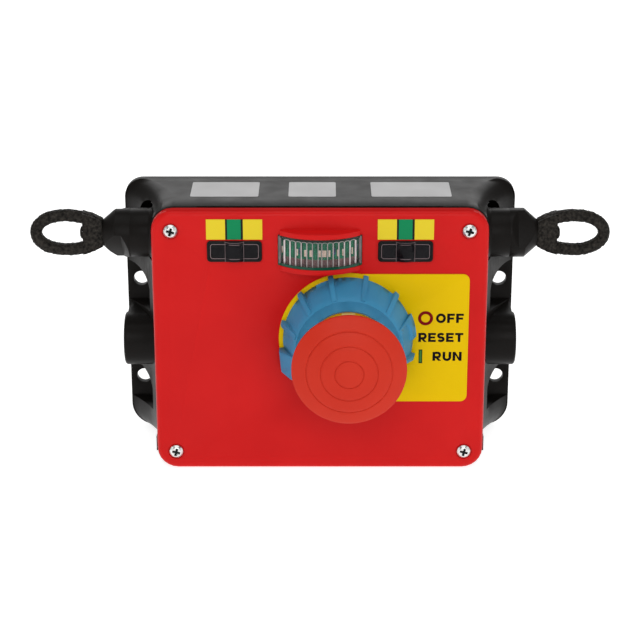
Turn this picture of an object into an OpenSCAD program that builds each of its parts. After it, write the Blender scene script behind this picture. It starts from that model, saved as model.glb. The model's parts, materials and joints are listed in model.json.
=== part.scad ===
// Two-headed rope pull safety switch with reset knob, emergency stop button and beacon.
// The back face lies in the plane y = 0, the front faces -Y, and the origin is the
// centre of the four wall bolts. Lengths are in millimetres.

/* [Housing] */
// Width of the cast box
body_w = 182; // [176:1:190]
// Height of the cast box
body_h = 150; // [146:1:156]
// Height of the box's centre above the centre of the wall bolts
body_rise = 14; // [12:0.5:16]
// Depth of the box from its back face to its rim
body_d = 58.8; // [58:0.2:62]
// Wall thickness of the casting
wall = 4; // [3:0.5:4.5]
// Radius of the box's long corners
corner_r = 12; // [10:0.5:13]
// How far the wall flange stands out past each side of the box
flange_out = 19; // [19:0.5:22]
// Thickness of the wall flange
flange_t = 4.5; // [4:0.5:6]
// How far the skirt has flared out past each side of the box where it meets the flange
skirt_out = 18.5; // [17.5:0.5:18.5]
// Depth at which the sides begin to flare out to the skirt
skirt_d = 50; // [46:1:52]

/* [Wall bolts] */
// Distance of the wall bolts' centres past each side of the box
bolt_out = 11.3; // [10.8:0.1:11.8]
// Spacing of the wall bolts up and down
bolt_span_z = 59.8; // [58:0.2:61]
// Diameter of the bolt holes
bolt_hole_d = 8.6; // [8:0.2:9]
// Radius of the arched bolt pockets
pocket_r = 12; // [11.6:0.1:12.4]
// Clear distance from a bolt's centre to the pocket's inner wall
pocket_in = 6.6; // [5.6:0.2:7]
// Drop from a bolt's centre to the pocket's ledge
pocket_drop = 12.2; // [11.6:0.2:12.6]

/* [Conduit entries] */
// Outer diameter of the conduit bosses
conduit_boss_d = 30.2; // [28:0.2:31]
// Core diameter of the conduit threads
conduit_core_d = 18.5; // [17:0.5:20.5]
// Length of the conduit bosses from the sides of the box
conduit_len = 19.4; // [18:0.2:22]
// Distance of the conduit axis in front of the back face
conduit_depth = 22; // [21:0.5:24]

/* [Pull heads] */
// Distance of the pull shafts below the top of the box
head_drop = 22.7; // [22:0.1:23.5]
// Distance of the pull shafts in front of the back face
head_depth = 33; // [32:0.5:34]
// Outer diameter of the pull heads
head_d = 27.2; // [25.6:0.2:27.4]
// Length of the head boss from the side of the box
head_len = 13; // [12.5:0.1:14]
// Length of the nose that is screwed to the head boss
nose_len = 15.4; // [15:0.1:16.4]
// Length of the nose's cone
cone_len = 7.1; // [6:0.1:7.4]
// Diameter of the nose at its tip
nose_tip_d = 14.8; // [13.4:0.2:15]
// Distance of each spanner flat from the nose's axis
nose_flat = 8.8; // [8.4:0.1:9]

/* [Rope eyes] */
// Length of a rope eye
eye_len = 40.5; // [39:0.5:44]
// Height of a rope eye
eye_h = 26.4; // [25:0.2:28]
// Thickness of the eye's ring
eye_bar = 7; // [6.4:0.2:7.6]
// Length of the solid block that turns on the shaft
eye_block = 11; // [10:0.5:12]
// Thickness of that block
eye_block_t = 9; // [8.4:0.2:10]

/* [Pull shafts] */
// Diameter of the pull shafts
shaft_d = 10; // [9:0.5:10.5]
// Diameter of the swivel pin that carries the eye
pin_d = 5.4; // [5:0.2:6]
// Travel of each pull shaft from slack to fully pulled
pull_travel = 26; // [20:1:26]
// Distance of the shafts' inner ends from the middle
shaft_in = 20.5; // [18.5:0.5:21]
// Height of the retaining nut
nut_h = 7.9; // [7:0.1:8]
// Thickness of the tension pointer's plate
pointer_t = 1.5; // [1.2:0.1:2]
// Thickness of the spring cup's base
cup_base = 2.5; // [2:0.5:3.5]
// Length of the spring cup's skirt
cup_skirt = 26; // [24:1:26]
// Rise of the cup's cam cone per unit length
cam_slope = 0.1; // [0.06:0.01:0.12]
// Wire diameter of the tension springs
spring_wire = 2.4; // [2:0.1:2.6]
// Number of turns of the tension springs
spring_turns = 8; // [6:1:9]

/* [Cover] */
// How far the cover stays back from the sides of the box
cover_step = 0.5; // [0:0.1:1]
// Depth of the cover from the housing's rim to its front
cover_d = 8.2; // [8:0.2:10]
// Thickness of the cover's face
cover_t = 3; // [2.5:0.5:3.5]
// Radius along the cover's front edge
cover_edge_r = 3; // [2:0.5:3.5]
// Thickness of the seal between housing and cover
seal_t = 1.2; // [1:0.1:1.4]
// Distance of the cover screws from the edges of the box
screw_inset = 11.1; // [10.8:0.1:11.6]
// Diameter of the cover screws' heads
screw_head_d = 7.4; // [7:0.2:8.4]
// Core diameter of the cover screws
screw_core_d = 3.2; // [3:0.1:3.4]

/* [Tension windows] */
// Distance of each window's centre from the middle
window_x = 45.8; // [45.5:0.1:46.5]
// Width of a window's bezel
window_w = 29.5; // [28:0.5:31]
// Height of a window's bezel
window_h = 11.8; // [11:0.2:12.4]
// Width of the bezel's rim
bezel_rim = 1.3; // [1:0.1:1.6]
// Width of the magnifier in the middle of the lens
magnifier_w = 9.7; // [8:0.1:11]
// Height of a tension label
label_h = 11.2; // [10:0.2:12]
// Width of a tension label
label_w = 30; // [28:0.2:32]

/* [Beacon] */
// Width of the beacon's lens
beacon_w = 45; // [42:0.5:46]
// Height of the beacon's lens
beacon_h = 16.8; // [15:0.2:18]
// Distance that the lens stands out of the cover
beacon_bulge = 10; // [8:0.5:11]
// Wall thickness of the lens
beacon_wall = 2; // [1.5:0.1:2.4]
// Number of light-spreading flutes inside the lens
beacon_flutes = 15; // [9:1:17]
// Height of the hood lips above and below the lens
lip_h = 2.8; // [2:0.2:3.2]

/* [Reset knob] */
// Distance of the knob's axis to the right of the middle
knob_x = 15.2; // [14:0.2:17]
// Height of the knob's axis above the cover's middle
knob_rise = 2.6; // [2:0.2:3.4]
// Diameter of the knob's cone at its base
knob_base_d = 70.6; // [68:0.2:72]
// Diameter of the knob's cone at its front rim
knob_rim_d = 58.8; // [56:0.2:60]
// Distance of the knob's front rim from the cover's face
knob_h = 20.5; // [19:0.5:22]
// Diameter of the knob's centre opening
knob_bore_d = 44; // [43:0.5:45]
// Wall thickness of the knob's hub
hub_wall = 3; // [2.5:0.1:3.2]
// Number of grip ribs around the knob, one of them the pointer
rib_count = 12; // [8:1:16]
// Width of a grip rib
rib_w = 2.6; // [2:0.1:3]
// Height of a grip rib at the base
rib_h = 2.2; // [1.6:0.1:2.4]
// Turn of the knob from off to run, in degrees
knob_turn = 28; // [24:1:30]
// Radius of the crank pin that drives the latch bar
crank_r = 20; // [19.5:0.5:20.5]

/* [Emergency stop] */
// Diameter of the mushroom button
mushroom_d = 60.4; // [54:0.2:62]
// Distance of the mushroom's widest rim from the cover's face
mushroom_stand = 47.6; // [46:0.2:49]
// Radius of the mushroom's domed face
mushroom_dome_r = 67; // [62:1:80]
// Travel of the mushroom when it is pressed
stop_travel = 6; // [4:0.5:7]
// Diameter of the stop button's stem
stem_d = 8; // [7:0.5:9]
// Outer diameter of the yellow collar
collar_d = 42.6; // [41:0.2:42.6]
// Distance of the collar's front from the cover's face
collar_stand = 16.5; // [15:0.5:18]

/* [Inner frame] */
// Thickness of the mechanism plate and the bridge plate
plate_t = 2; // [1.5:0.5:2.5]
// Depth of the mechanism plate's back from the back face
plate_depth = 10; // [9:0.5:11]
// Distance of the bridge plate's back behind the cover's face
bridge_back = 23; // [22:0.5:24]
// Number of contact blocks under the latch bar
block_count = 4; // [2:1:4]
// Width of a contact block
block_w = 15; // [12:0.5:16]
// Spacing of the contact blocks
block_pitch = 18; // [17:0.5:18.5]
// Diameter of the contact plungers
plunger_d = 5; // [4:0.5:5.5]

/* [Hidden] */

$fn = 64;
gap = 0.3;         // clearance between pieces that move past each other
fit = 0.05;        // radial clearance of a running fit
seat = 0.02;       // radial clearance of a pressed or seated round piece
cut = 1;           // overrun of a cutting tool past the face it cuts

// Box and skirt
body_x = body_w / 2;
flange_x = body_x + flange_out;
skirt_x = body_x + skirt_out;
bolt_x = body_x + bolt_out;
conduit_reach = body_x + conduit_len;
body_top = body_rise + body_h / 2;
body_bottom = body_rise - body_h / 2;
inner_x = body_x - wall;
inner_top = body_top - wall;
inner_bottom = body_bottom + wall;
inner_r = corner_r - wall;
floor_y = -flange_t;
rim_y = -body_d;
cover_front = body_d + cover_d;
cover_back_y = rim_y - seal_t;
cover_y = -cover_front;
flange_corner_r = corner_r - 1.5;
flange_low_r = corner_r + 2;                  // the casting is rounder at its lower corners
skirt_steps = 8;
corner_steps = 6;
edge_steps = 6;
lip_inset = 0.2;
lip_w = 1.3;                                  // width of the casting's lip round the seal
seal_inset = lip_w + 0.2;
lip_h_corner = seal_t - 0.1;                  // height of that lip at the corners
lip_len = screw_inset + 14;                   // reach of the corner lips along each side
lug_out = 0.5;                                // how far the lower lugs stand proud
lug_depth = 4;
lug_len = 8.4;
lug_low = body_bottom + 7.4;
lug_x = 83;                                   // half the width of the lug along the bottom

// Bolt pockets
pocket_x = bolt_x - pocket_in + pocket_r;
pocket_rise = 0.5;                              // drop of the arch's centre below the bolt
head_pocket_r = 9.5;                          // dark recess above each pull head
head_pocket_z = body_top - wall - 1.6 - head_pocket_r;
head_pocket_in = 1;                            // how far that recess is let into the wall
head_pocket_y = -30;

// Pull heads
head_y = -head_depth;
head_z = body_top - head_drop;
nose_start = body_x + head_len;
nose_reach = nose_start + nose_len;
cone_start = nose_reach - cone_len;
head_collar_r = head_d / 2 + 2.4;              // foot of the head boss on the box
head_collar_t = 0.8;
spot_face = 0.4;                              // clearance of the spot face round that foot
head_bore_d = shaft_d + 4;
bush_len = 8;
bush_start = body_x + 4;
nose_ramp = 4;
nose_ramp_start = nose_start + 0.8;
wiper_len = 4;
wiper_start = nose_start + 5;
wiper_d = shaft_d + 4;
nose_turn = [-40, -28];                        // how far the left and right noses are screwed round

// Shafts, from the inside out
nut_x = shaft_in + 1.5;
pointer_x = nut_x + nut_h;
cup_x = pointer_x + pointer_t;
cup_open_x = cup_x + cup_base;
spring_r = shaft_d / 2 + 1.6 + spring_wire / 2;
cup_bore_r = spring_r + spring_wire / 2 + 0.6;
cup_mouth_r = cup_bore_r + 2.2;
cup_back_r = cup_mouth_r + cam_slope * cup_skirt;
shoulder_x = nose_reach + 0.1;
eye_x = shoulder_x + 0.2;
pin_end_x = eye_x + eye_block + 0.2;
pin_head_d = pin_d + 1.6;
pin_head_h = 1.4;

// Rope eyes: the ring's outer outline is an ellipse cut off at the swivel
eye_shape = 0.768;                            // share of the half length at which it is cut off
eye_a = eye_len / (1 + eye_shape);
eye_mid = eye_x + eye_len - eye_a;
eye_steps = 40;
eye_egg = 0.15;                                // how much blunter the far end is
bar_steps = 12;

// Cam followers
follower_d = 5;
follower_x = cup_open_x + cup_skirt - 1.5;
follower_tip_z = head_z - (cup_mouth_r + cam_slope * (cup_open_x + cup_skirt - follower_x)) - gap;
follower_len = 16;
switch_top = follower_tip_z - 7;
switch_h = 24;
switch_w = 12;
plate_front_y = -plate_depth - plate_t;

// Cover details
cover_x = body_x - cover_step;
cover_r = corner_r - cover_step;
cover_top = body_top - cover_step;
screw_x = body_x - screw_inset;
screw_z = [body_top - screw_inset - 0.5, body_bottom + screw_inset - 0.7];
screw_recess = 0.8;
screw_boss_d = 10.4;
screw_boss_len = 10.5;
screw_len = cover_front - screw_recess - body_d + 8;
screw_head_h = 2.4;
window_r = 2;
bezel_stand = 0.7;
label_t = 0.3;
label_z = head_z + window_h / 2 + 0.7 + label_h / 2;
window_neck_w = window_w - 2 * bezel_rim + 1.2;
window_neck_h = window_h - 2 * bezel_rim + 1.2;
lens_t = 2.2;
lens_bulge = 1.4;                             // how far the magnifier stands before the bezel
lens_back_y = cover_y + cover_t + 0.6;

// Beacon
beacon_z = head_z + 0.8;
beacon_r = (pow(beacon_w / 2, 2) + pow(beacon_bulge, 2)) / (2 * beacon_bulge);
beacon_axis_y = cover_y - beacon_bulge + beacon_r;
beacon_back_y = cover_y + cover_t + 0.5;
flute_r = 1.1;
board_t = 1.6;
board_y = beacon_back_y + 2;
led_size = 1.7;
led_count = 11;

// Knob and legend plate
knob_z = body_rise + knob_rise;
knob_front = cover_front + knob_h;
legend_t = 0.8;
plate_front = cover_front + legend_t;
knob_back_y = -plate_front - gap;
knob_front_y = -knob_front;
knob_bore_r = knob_bore_d / 2;
hub_r = knob_bore_r + hub_wall;
hub_end_y = cover_y + cover_t + 6;
knob_shell = 3;
rib_offset = 45;
seam_turn = 60;                               // keeps the seam of turned pieces clear of the ribs
pointer_span = 21;
pointer_turn = rib_offset - 360 / rib_count - 2.2;
grip_turn = 184.6;                            // way its flat outer face looks
grip_out = 37.7;
grip_start = 2.2;
grip_end = 16;
legend_r = knob_base_d / 2 + rib_h + 0.1;
legend_reach = 65.4;
legend_half_h = legend_r - 0.7;
legend_corner_r = 3.7;
retainer_w = 5;
retainer_t = 2;
cam_t = 3;
cam_bore_r = 15.6;
crank_pin_d = 5;
latch_t = 4;
latch_y = hub_end_y + cam_t + 0.6;            // front face of the latch bar
latch_rest = crank_r * sin(knob_turn / 2);    // height of the crank pin above the axis at rest
latch_travel = 2 * latch_rest;
slot_play = 0.2;

// Stop button and its guide
mushroom_rim = cover_front + mushroom_stand;
collar_front = cover_front + collar_stand;
bridge_depth = cover_front - bridge_back;
bar_w = 12;
mushroom_rim_h = 2.2;
mushroom_edge_r = 1;
mushroom_taper = 5;                           // how far its back slopes to the boss
mushroom_boss_d = 24;
mushroom_boss_len = 13.3;
groove_step = 7.5;
groove_r = 0.35;
stem_front_y = -mushroom_rim;
stem_back_y = plate_front_y - 18;
collar_len = 13;
collar_neck_d = 2 * (crank_r - bar_w / 2 - gap);
bridge_y = -bridge_depth - plate_t;           // front face of the bridge plate
stop_spring_wire = 1.4;
stop_spring_r = 7.5;
collar_well_d = 2 * (stop_spring_r + stop_spring_wire);
collar_well_depth = 6;
clip_t = 1.2;
clip_d = 13;
stop_switch_w = 22;
stop_switch_front_y = plate_front_y - 20;

// Bridge, latch bar and contacts
post_d = 7;
post_dx = 24;
post_dz = 19;
bridge_w = 2 * post_dx + 10;
bridge_h = 2 * post_dz + 10;
bar_x = knob_x + crank_r;
guide_d = 4;
guide_up = 15;
guide_down = 21;
bar_top = knob_z + latch_rest + guide_up + guide_d + 2;
crosshead_drop = 24.6;
crosshead_z = knob_z - crosshead_drop;
crosshead_h = 7;
crosshead_w = (block_count - 1) * block_pitch + block_w;
block_lead = 34;
first_block_x = bar_x - block_lead;
block_top = crosshead_z - latch_travel - 5;
plunger_reach = 8;
block_overhang = 3;
strip_w = 50;
strip_h = 14;
strip_d = 16;
strip_x = -63;
strip_z = inner_bottom + 10;
strip_ways = 6;
standoff_d = 9;
mech_plate_x = inner_x - 12;
mech_plate_top = 44;
mech_plate_bottom = inner_bottom + 6;
block_h = block_top - mech_plate_bottom;
mech_screw_inset = 6;
mech_screw_d = 4;
earth_x = 41 - mech_plate_x;
earth_z = mech_plate_top - 14;

// ---------- Shared shapes ----------

// Extrudes a profile drawn in (x, z) from the plane y = back forward by depth
module toward_front(back, depth) {
    translate([0, back, 0]) rotate([90, 0, 0]) linear_extrude(depth) children();
}

// Extrudes a profile drawn in (y, z) along +X from x = start
module toward_right(start, length) {
    translate([start, 0, 0]) rotate([90, 0, 90]) linear_extrude(length) children();
}

// Revolves a profile drawn in (radius, x) about the pull shaft's axis
module about_shaft() {
    translate([0, head_y, head_z]) rotate([0, 90, 0]) rotate_extrude() children();
}

// Revolves a profile drawn in (radius, distance from the back face) about the knob's axis
module about_knob() {
    translate([knob_x, 0, knob_z]) rotate([90, 0, 0]) rotate(seam_turn) rotate_extrude() children();
}

module ring(outer_r, inner_r, from, to) {
    difference() {
        translate([0, from]) square([outer_r, to - from]);
        translate([-cut, from - cut]) square([inner_r + cut, to - from + 2 * cut]);
    }
}

module rounded_rect(w, h, r) {
    square([w - 2 * r, h], center = true);
    square([w, h - 2 * r], center = true);
    for (x = [-1, 1], y = [-1, 1]) translate([x * (w / 2 - r), y * (h / 2 - r)]) circle(r);
}

// Rounded rectangle as points [x, y, z], running anticlockwise when seen from the front
function section(y, half_w, low, high, r_high, r_low) = [
    for (c = [0:3], s = [0:corner_steps])
        let (a = 90 * c + 90 * s / corner_steps,
             r = c < 2 ? r_high : r_low,
             x = (c == 0 || c == 3 ? 1 : -1) * (half_w - r),
             z = c < 2 ? high - r : low + r)
        [x + r * cos(a), y, z + r * sin(a)]];

// Solid through a row of sections that starts at the front
module loft(sections) {
    count = len(sections);
    n = len(sections[0]);
    points = [for (s = sections, p = s) p];
    walls = [for (i = [0:count - 2], k = [0:n - 1], half = [0, 1])
        let (m = (k + 1) % n, j = i + 1)
        half == 0 ? [i * n + k, i * n + m, j * n + k] : [i * n + m, j * n + m, j * n + k]];
    front = [for (k = [n - 1:-1:0]) k];
    back = [for (k = [0:n - 1]) (count - 1) * n + k];
    polyhedron(points, concat([front], walls, [back]), convexity = 4);
}

module body_outline(inset, r) {
    translate([0, body_rise]) rounded_rect(body_w - 2 * inset, body_h - 2 * inset, r);
}

// Both the left (-1) and the right (+1) pieces are drawn as right-hand ones
module on_side(side) {
    if (side < 0) mirror([1, 0, 0]) children();
    else children();
}

// Helix of round wire about the Z axis
module coil(mean_r, wire_d, length, turns, per_turn, sides) {
    count = turns * per_turn;
    points = [for (i = [0:count], k = [0:sides - 1])
        let (a = 360 * i / per_turn, b = 360 * k / sides, r = mean_r + wire_d / 2 * cos(b))
        [r * cos(a), r * sin(a), wire_d / 2 + (length - wire_d) * i / count + wire_d / 2 * sin(b)]];
    walls = [for (i = [0:count - 1], k = [0:sides - 1])
        let (n = (k + 1) % sides, lower = i * sides, upper = lower + sides)
        [lower + k, lower + n, upper + n, upper + k]];
    start = [for (k = [sides - 1:-1:0]) k];
    end = [for (k = [0:sides - 1]) count * sides + k];
    polyhedron(points, concat([start], walls, [end]), convexity = 10);
}

// ---------- Housing ----------

module flared_box() {
    loft(concat(
        [section(rim_y, body_x, body_bottom, body_top, corner_r, corner_r)],
        [for (i = [0:skirt_steps])
            let (u = i / skirt_steps)
            section(-skirt_d + u * (skirt_d - flange_t), body_x + skirt_out * u * u,
                body_bottom, body_top, corner_r + u / 3, corner_r + 2.3 * u)],
        [section(-flange_t / 2, skirt_x, body_bottom, body_top, corner_r + 1 / 3, corner_r + 2.3)]));
}

module wall_flange() {
    toward_front(0, flange_t) difference() {
        translate([0, body_rise]) rounded_rect(2 * flange_x, body_h, flange_corner_r);
        for (side = [-1, 1]) translate([side * (flange_x - flange_low_r), body_bottom + flange_low_r])
            difference() {
                translate([side < 0 ? -2 * flange_low_r : 0, -2 * flange_low_r])
                    square(2 * flange_low_r);
                circle(flange_low_r);
            }
    }
}

module bolt_pocket_profile() {
    intersection() {
        circle(pocket_r);
        translate([-pocket_r, 0]) square(2 * pocket_r);
    }
    translate([-pocket_r, pocket_rise - pocket_drop])
        square([2 * pocket_r, pocket_drop - pocket_rise + cut]);
}

module bolt_pockets() {
    for (side = [-1, 1], z = [-1, 1]) on_side(side)
        toward_front(floor_y, body_d)
            translate([pocket_x, z * bolt_span_z / 2 - pocket_rise]) bolt_pocket_profile();
}

module head_pockets() {
    for (side = [-1, 1]) on_side(side)
        toward_front(floor_y, -head_pocket_y - flange_t) intersection() {
            translate([body_x, head_pocket_z]) circle(head_pocket_r);
            translate([body_x - head_pocket_in, head_z]) square(head_d);
        }
}

module head_spot_faces() {
    for (side = [-1, 1]) on_side(side) toward_right(body_x + spot_face / 2, skirt_x)
        translate([head_y, head_z]) circle(head_collar_r + spot_face);
}

module conduit_boss() {
    edge_r = 1.6;
    translate([0, -conduit_depth, 0]) rotate([0, 90, 0]) rotate_extrude() {
        translate([0, inner_x]) square([conduit_boss_d / 2, conduit_reach - edge_r - inner_x]);
        translate([0, inner_x]) square([conduit_boss_d / 2 - edge_r, conduit_reach - inner_x]);
        translate([conduit_boss_d / 2 - edge_r, conduit_reach - edge_r]) circle(edge_r);
    }
}

// Sloping web from the ledge under the upper bolt to the top of the conduit boss
module conduit_web() {
    ledge = bolt_span_z / 2 - pocket_drop;
    toward_right(inner_x, flange_x - 1.2 - inner_x) polygon([[-flange_t / 2, ledge],
        [-flange_t, ledge], [-conduit_depth, conduit_boss_d / 2], [-conduit_depth, 0],
        [-flange_t / 2, 0]]);
}

module head_boss() {
    fillet_r = head_collar_r - head_d / 2;
    fillet_x = body_x + head_collar_t + fillet_r;
    about_shaft() {
        translate([0, inner_x]) square([head_d / 2, nose_start - inner_x]);
        difference() {
            translate([0, inner_x]) square([head_collar_r, fillet_x - inner_x]);
            translate([head_collar_r, fillet_x]) circle(fillet_r);
        }
    }
}

module corner_screw_boss(x_sign, z) {
    up = z > body_rise ? 1 : -1;
    reach = wall + 1;
    toward_front(rim_y + screw_boss_len, screw_boss_len) {
        translate([x_sign * screw_x, z]) circle(screw_boss_d / 2);
        translate([x_sign * (screw_x + reach), z]) square([2 * reach, screw_boss_d], center = true);
        translate([x_sign * screw_x, z + up * reach]) square([screw_boss_d, 2 * reach], center = true);
    }
}

module corner_lips() {
    toward_front(rim_y, lip_h_corner) intersection() {
        difference() {
            body_outline(lip_inset, corner_r - lip_inset);
            body_outline(lip_w, corner_r - lip_w);
        }
        for (x = [-1, 1], z = [body_bottom, body_top])
            translate([x * body_x, z]) square(2 * lip_len, center = true);
    }
}

module lower_lugs() {
    for (side = [-1, 1]) on_side(side)
        translate([inner_x, rim_y, lug_low]) cube([wall + lug_out, lug_depth, lug_len]);
    translate([-lug_x, rim_y, body_bottom - lug_out]) cube([2 * lug_x, lug_depth, wall]);
}

module plate_standoffs() {
    for (x = [-1, 1], z = [mech_plate_bottom + mech_screw_inset, mech_plate_top - mech_screw_inset])
        toward_front(floor_y + cut, plate_depth - flange_t + cut)
            translate([x * (mech_plate_x - mech_screw_inset), z]) circle(standoff_d / 2);
}

module housing() {
    color("#2b2a29") difference() {
        union() {
            difference() {
                union() {
                    flared_box();
                    wall_flange();
                }
                bolt_pockets();
                head_pockets();
                head_spot_faces();
                toward_front(floor_y, body_d) body_outline(wall, inner_r);
            }
            for (side = [-1, 1]) on_side(side) {
                conduit_boss();
                conduit_web();
                head_boss();
                for (z = screw_z) corner_screw_boss(1, z);
            }
            corner_lips();
            lower_lugs();
            plate_standoffs();
            toward_front(floor_y + cut, 6 + cut)
                translate([earth_x, earth_z]) circle(standoff_d / 2);
        }
        for (side = [-1, 1]) on_side(side) {
            for (z = [-1, 1]) toward_front(cut, flange_t + 2 * cut)
                translate([bolt_x, z * bolt_span_z / 2]) circle(bolt_hole_d / 2);
            toward_right(inner_x - cut, conduit_reach - inner_x + 2 * cut)
                translate([-conduit_depth, 0]) circle(conduit_core_d / 2);
            toward_right(inner_x - cut, nose_start - inner_x + 2 * cut)
                translate([head_y, head_z]) circle(head_bore_d / 2);
            for (z = screw_z) toward_front(rim_y + screw_boss_len - 2, screw_boss_len)
                translate([screw_x, z]) circle(screw_core_d / 2 + fit);
            for (z = [mech_plate_bottom + mech_screw_inset, mech_plate_top - mech_screw_inset])
                toward_front(-plate_depth + 6, 6 + cut)
                    translate([mech_plate_x - mech_screw_inset, z]) circle(mech_screw_d / 2 + fit);
        }
        toward_front(floor_y - 1, 6 + cut) translate([earth_x, earth_z]) circle(mech_screw_d / 2 + fit);
    }
}

// ---------- Cover and what it carries ----------

module cover_gasket() {
    color("#1c1c1c") toward_front(rim_y, seal_t) difference() {
        body_outline(seal_inset, corner_r - seal_inset);
        body_outline(wall - 0.2, inner_r);
        for (x = [-1, 1], z = screw_z) translate([x * screw_x, z]) circle(screw_core_d / 2 + gap);
    }
}

module cover_shell() {
    loft(concat(
        [for (i = [edge_steps:-1:0])
            let (a = 90 * i / edge_steps, inset = cover_edge_r * (1 - cos(a)))
            section(cover_y + cover_edge_r * (1 - sin(a)), cover_x - inset,
                body_bottom + inset, cover_top - inset, cover_r - inset, cover_r - inset)],
        [section(cover_back_y, cover_x, body_bottom, cover_top, cover_r, cover_r)]));
}

module lens_front(r, h) {
    translate([0, beacon_axis_y, beacon_z]) cylinder(h = h, r = r, center = true, $fn = 128);
}

module beacon_hood() {
    intersection() {
        lens_front(beacon_r + 0.2, beacon_h + 2 * lip_h);
        translate([0, cover_y + cover_t - beacon_r, beacon_z])
            cube([beacon_w - 2, 2 * beacon_r, beacon_h + 2 * lip_h], center = true);
    }
}

module front_cover() {
    color("#c8231f") difference() {
        union() {
            cover_shell();
            beacon_hood();
        }
        toward_front(cover_back_y + cut, cover_back_y - cover_y - cover_t + cut)
            body_outline(wall - 0.2, inner_r);
        translate([-beacon_w / 2 - 0.1, cover_y - beacon_bulge - cut, beacon_z - beacon_h / 2 - 0.1])
            cube([beacon_w + 0.2, beacon_bulge + cover_t + 2 * cut, beacon_h + 0.2]);
        for (side = [-1, 1]) toward_front(cover_y + cover_t + cut, cover_t + 2 * cut)
            translate([side * window_x, head_z])
                rounded_rect(window_neck_w + 0.2, window_neck_h + 0.2, window_r);
        toward_front(cover_y + cover_t + cut, cover_t + 2 * cut)
            translate([knob_x, knob_z]) circle(hub_r + gap);
        for (x = [-1, 1], z = screw_z) {
            toward_front(cover_back_y + cut, cover_front - body_d + 2 * cut)
                translate([x * screw_x, z]) circle(screw_core_d / 2 + gap);
            toward_front(cover_y + screw_recess, screw_recess + cut)
                translate([x * screw_x, z]) circle(screw_head_d / 2 + 0.8);
        }
    }
}

module cross_recess_screw(head_d, head_h, core_d, length) {
    slot = head_d / 6;
    difference() {
        union() {
            cylinder(h = head_h / 2, d = head_d);
            translate([0, 0, head_h / 2]) cylinder(h = head_h / 2, d1 = head_d, d2 = head_d * 0.7);
            translate([0, 0, -length]) cylinder(h = length + head_h / 2, d = core_d);
        }
        for (a = [0, 90]) rotate(a)
            translate([0, 0, head_h]) cube([head_d * 0.6, slot, head_h], center = true);
    }
}

module cover_screws() {
    color("#c9c9c6") for (x = [-1, 1], z = screw_z)
        translate([x * screw_x, cover_y + screw_recess, z]) rotate([90, 15, 0])
            cross_recess_screw(screw_head_d, screw_head_h, screw_core_d, screw_len);
}

module legend_plate() {
    half_h = legend_half_h;
    color("#e6c000") toward_front(cover_y, legend_t) translate([knob_x, knob_z]) difference() {
        union() {
            circle(legend_r);
            translate([0, -half_h]) square([legend_reach - legend_corner_r, 2 * half_h]);
            translate([0, legend_corner_r - half_h]) square([legend_reach, 2 * (half_h - legend_corner_r)]);
            for (z = [-1, 1])
                translate([legend_reach - legend_corner_r, z * (half_h - legend_corner_r)])
                    circle(legend_corner_r);
        }
        circle(hub_r + gap);
    }
}

module tension_label(side) {
    color("#e0cc30") toward_front(cover_y, label_t)
        translate([side * window_x, label_z]) square([label_w, label_h], center = true);
}

module window_bezel(side) {
    color("#151515") difference() {
        union() {
            toward_front(cover_y, bezel_stand)
                translate([side * window_x, head_z]) rounded_rect(window_w, window_h, window_r);
            toward_front(lens_back_y, cover_front + lens_back_y)
                translate([side * window_x, head_z])
                    rounded_rect(window_neck_w, window_neck_h, window_r);
        }
        toward_front(lens_back_y + cut, cover_front + lens_back_y + bezel_stand + 2 * cut)
            translate([side * window_x, head_z])
                rounded_rect(window_w - 2 * bezel_rim, window_h - 2 * bezel_rim, window_r - 0.6);
    }
}

module window_lens(side) {
    w = window_w - 2 * bezel_rim - 2 * seat;
    h = window_h - 2 * bezel_rim - 2 * seat;
    bezel_front = -cover_front - bezel_stand - seat;
    bulge_r = (pow(magnifier_w / 2, 2) + pow(lens_bulge, 2)) / (2 * lens_bulge);
    color("#b0b8b8", 0.4) translate([side * window_x, 0, head_z]) {
        toward_front(lens_back_y, lens_t) rounded_rect(w, h, window_r - 0.6);
        toward_front(lens_back_y - lens_t + cut, lens_back_y - lens_t - bezel_front + 2 * cut)
            square([magnifier_w - 0.6, h - 0.6], center = true);
        intersection() {
            translate([0, bezel_front + bulge_r - lens_bulge, 0])
                cylinder(h = window_h - 0.6, r = bulge_r, center = true);
            translate([0, bezel_front - lens_bulge, 0])
                cube([magnifier_w, 2 * lens_bulge, window_h], center = true);
        }
    }
}

module beacon_lens() {
    inner_r_lens = beacon_r - beacon_wall;
    span = 2 * asin((beacon_w / 2 - beacon_wall - flute_r) / inner_r_lens);
    color("#d8e0dc", 0.4) difference() {
        intersection() {
            lens_front(beacon_r, beacon_h);
            translate([0, cover_y - beacon_bulge / 2 + 1.75, beacon_z])
                cube([beacon_w, beacon_bulge + cover_t + 0.5, beacon_h], center = true);
        }
        intersection() {
            union() {
                lens_front(inner_r_lens, beacon_h - 2 * beacon_wall);
                for (i = [0:beacon_flutes - 1])
                    let (a = span * (i / (beacon_flutes - 1) - 0.5))
                    translate([inner_r_lens * sin(a), beacon_axis_y - inner_r_lens * cos(a), beacon_z])
                        cylinder(h = beacon_h - 2 * beacon_wall, r = flute_r, center = true, $fn = 16);
            }
            translate([0, cover_y, beacon_z])
                cube([beacon_w - 2 * beacon_wall, 3 * beacon_bulge, beacon_h], center = true);
        }
    }
}

module beacon_board() {
    color("#1d6b45") difference() {
        translate([-beacon_w / 2 - 1, beacon_back_y, beacon_z - beacon_h / 2 - 1])
            cube([beacon_w + 2, board_t, beacon_h + 2]);
        for (x = [-1, 1]) toward_front(beacon_back_y + board_t + cut, board_t + 2 * cut)
            translate([x * (beacon_w / 2 - 3), beacon_z - beacon_h / 2 + 2]) circle(1.2);
    }
}

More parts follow.
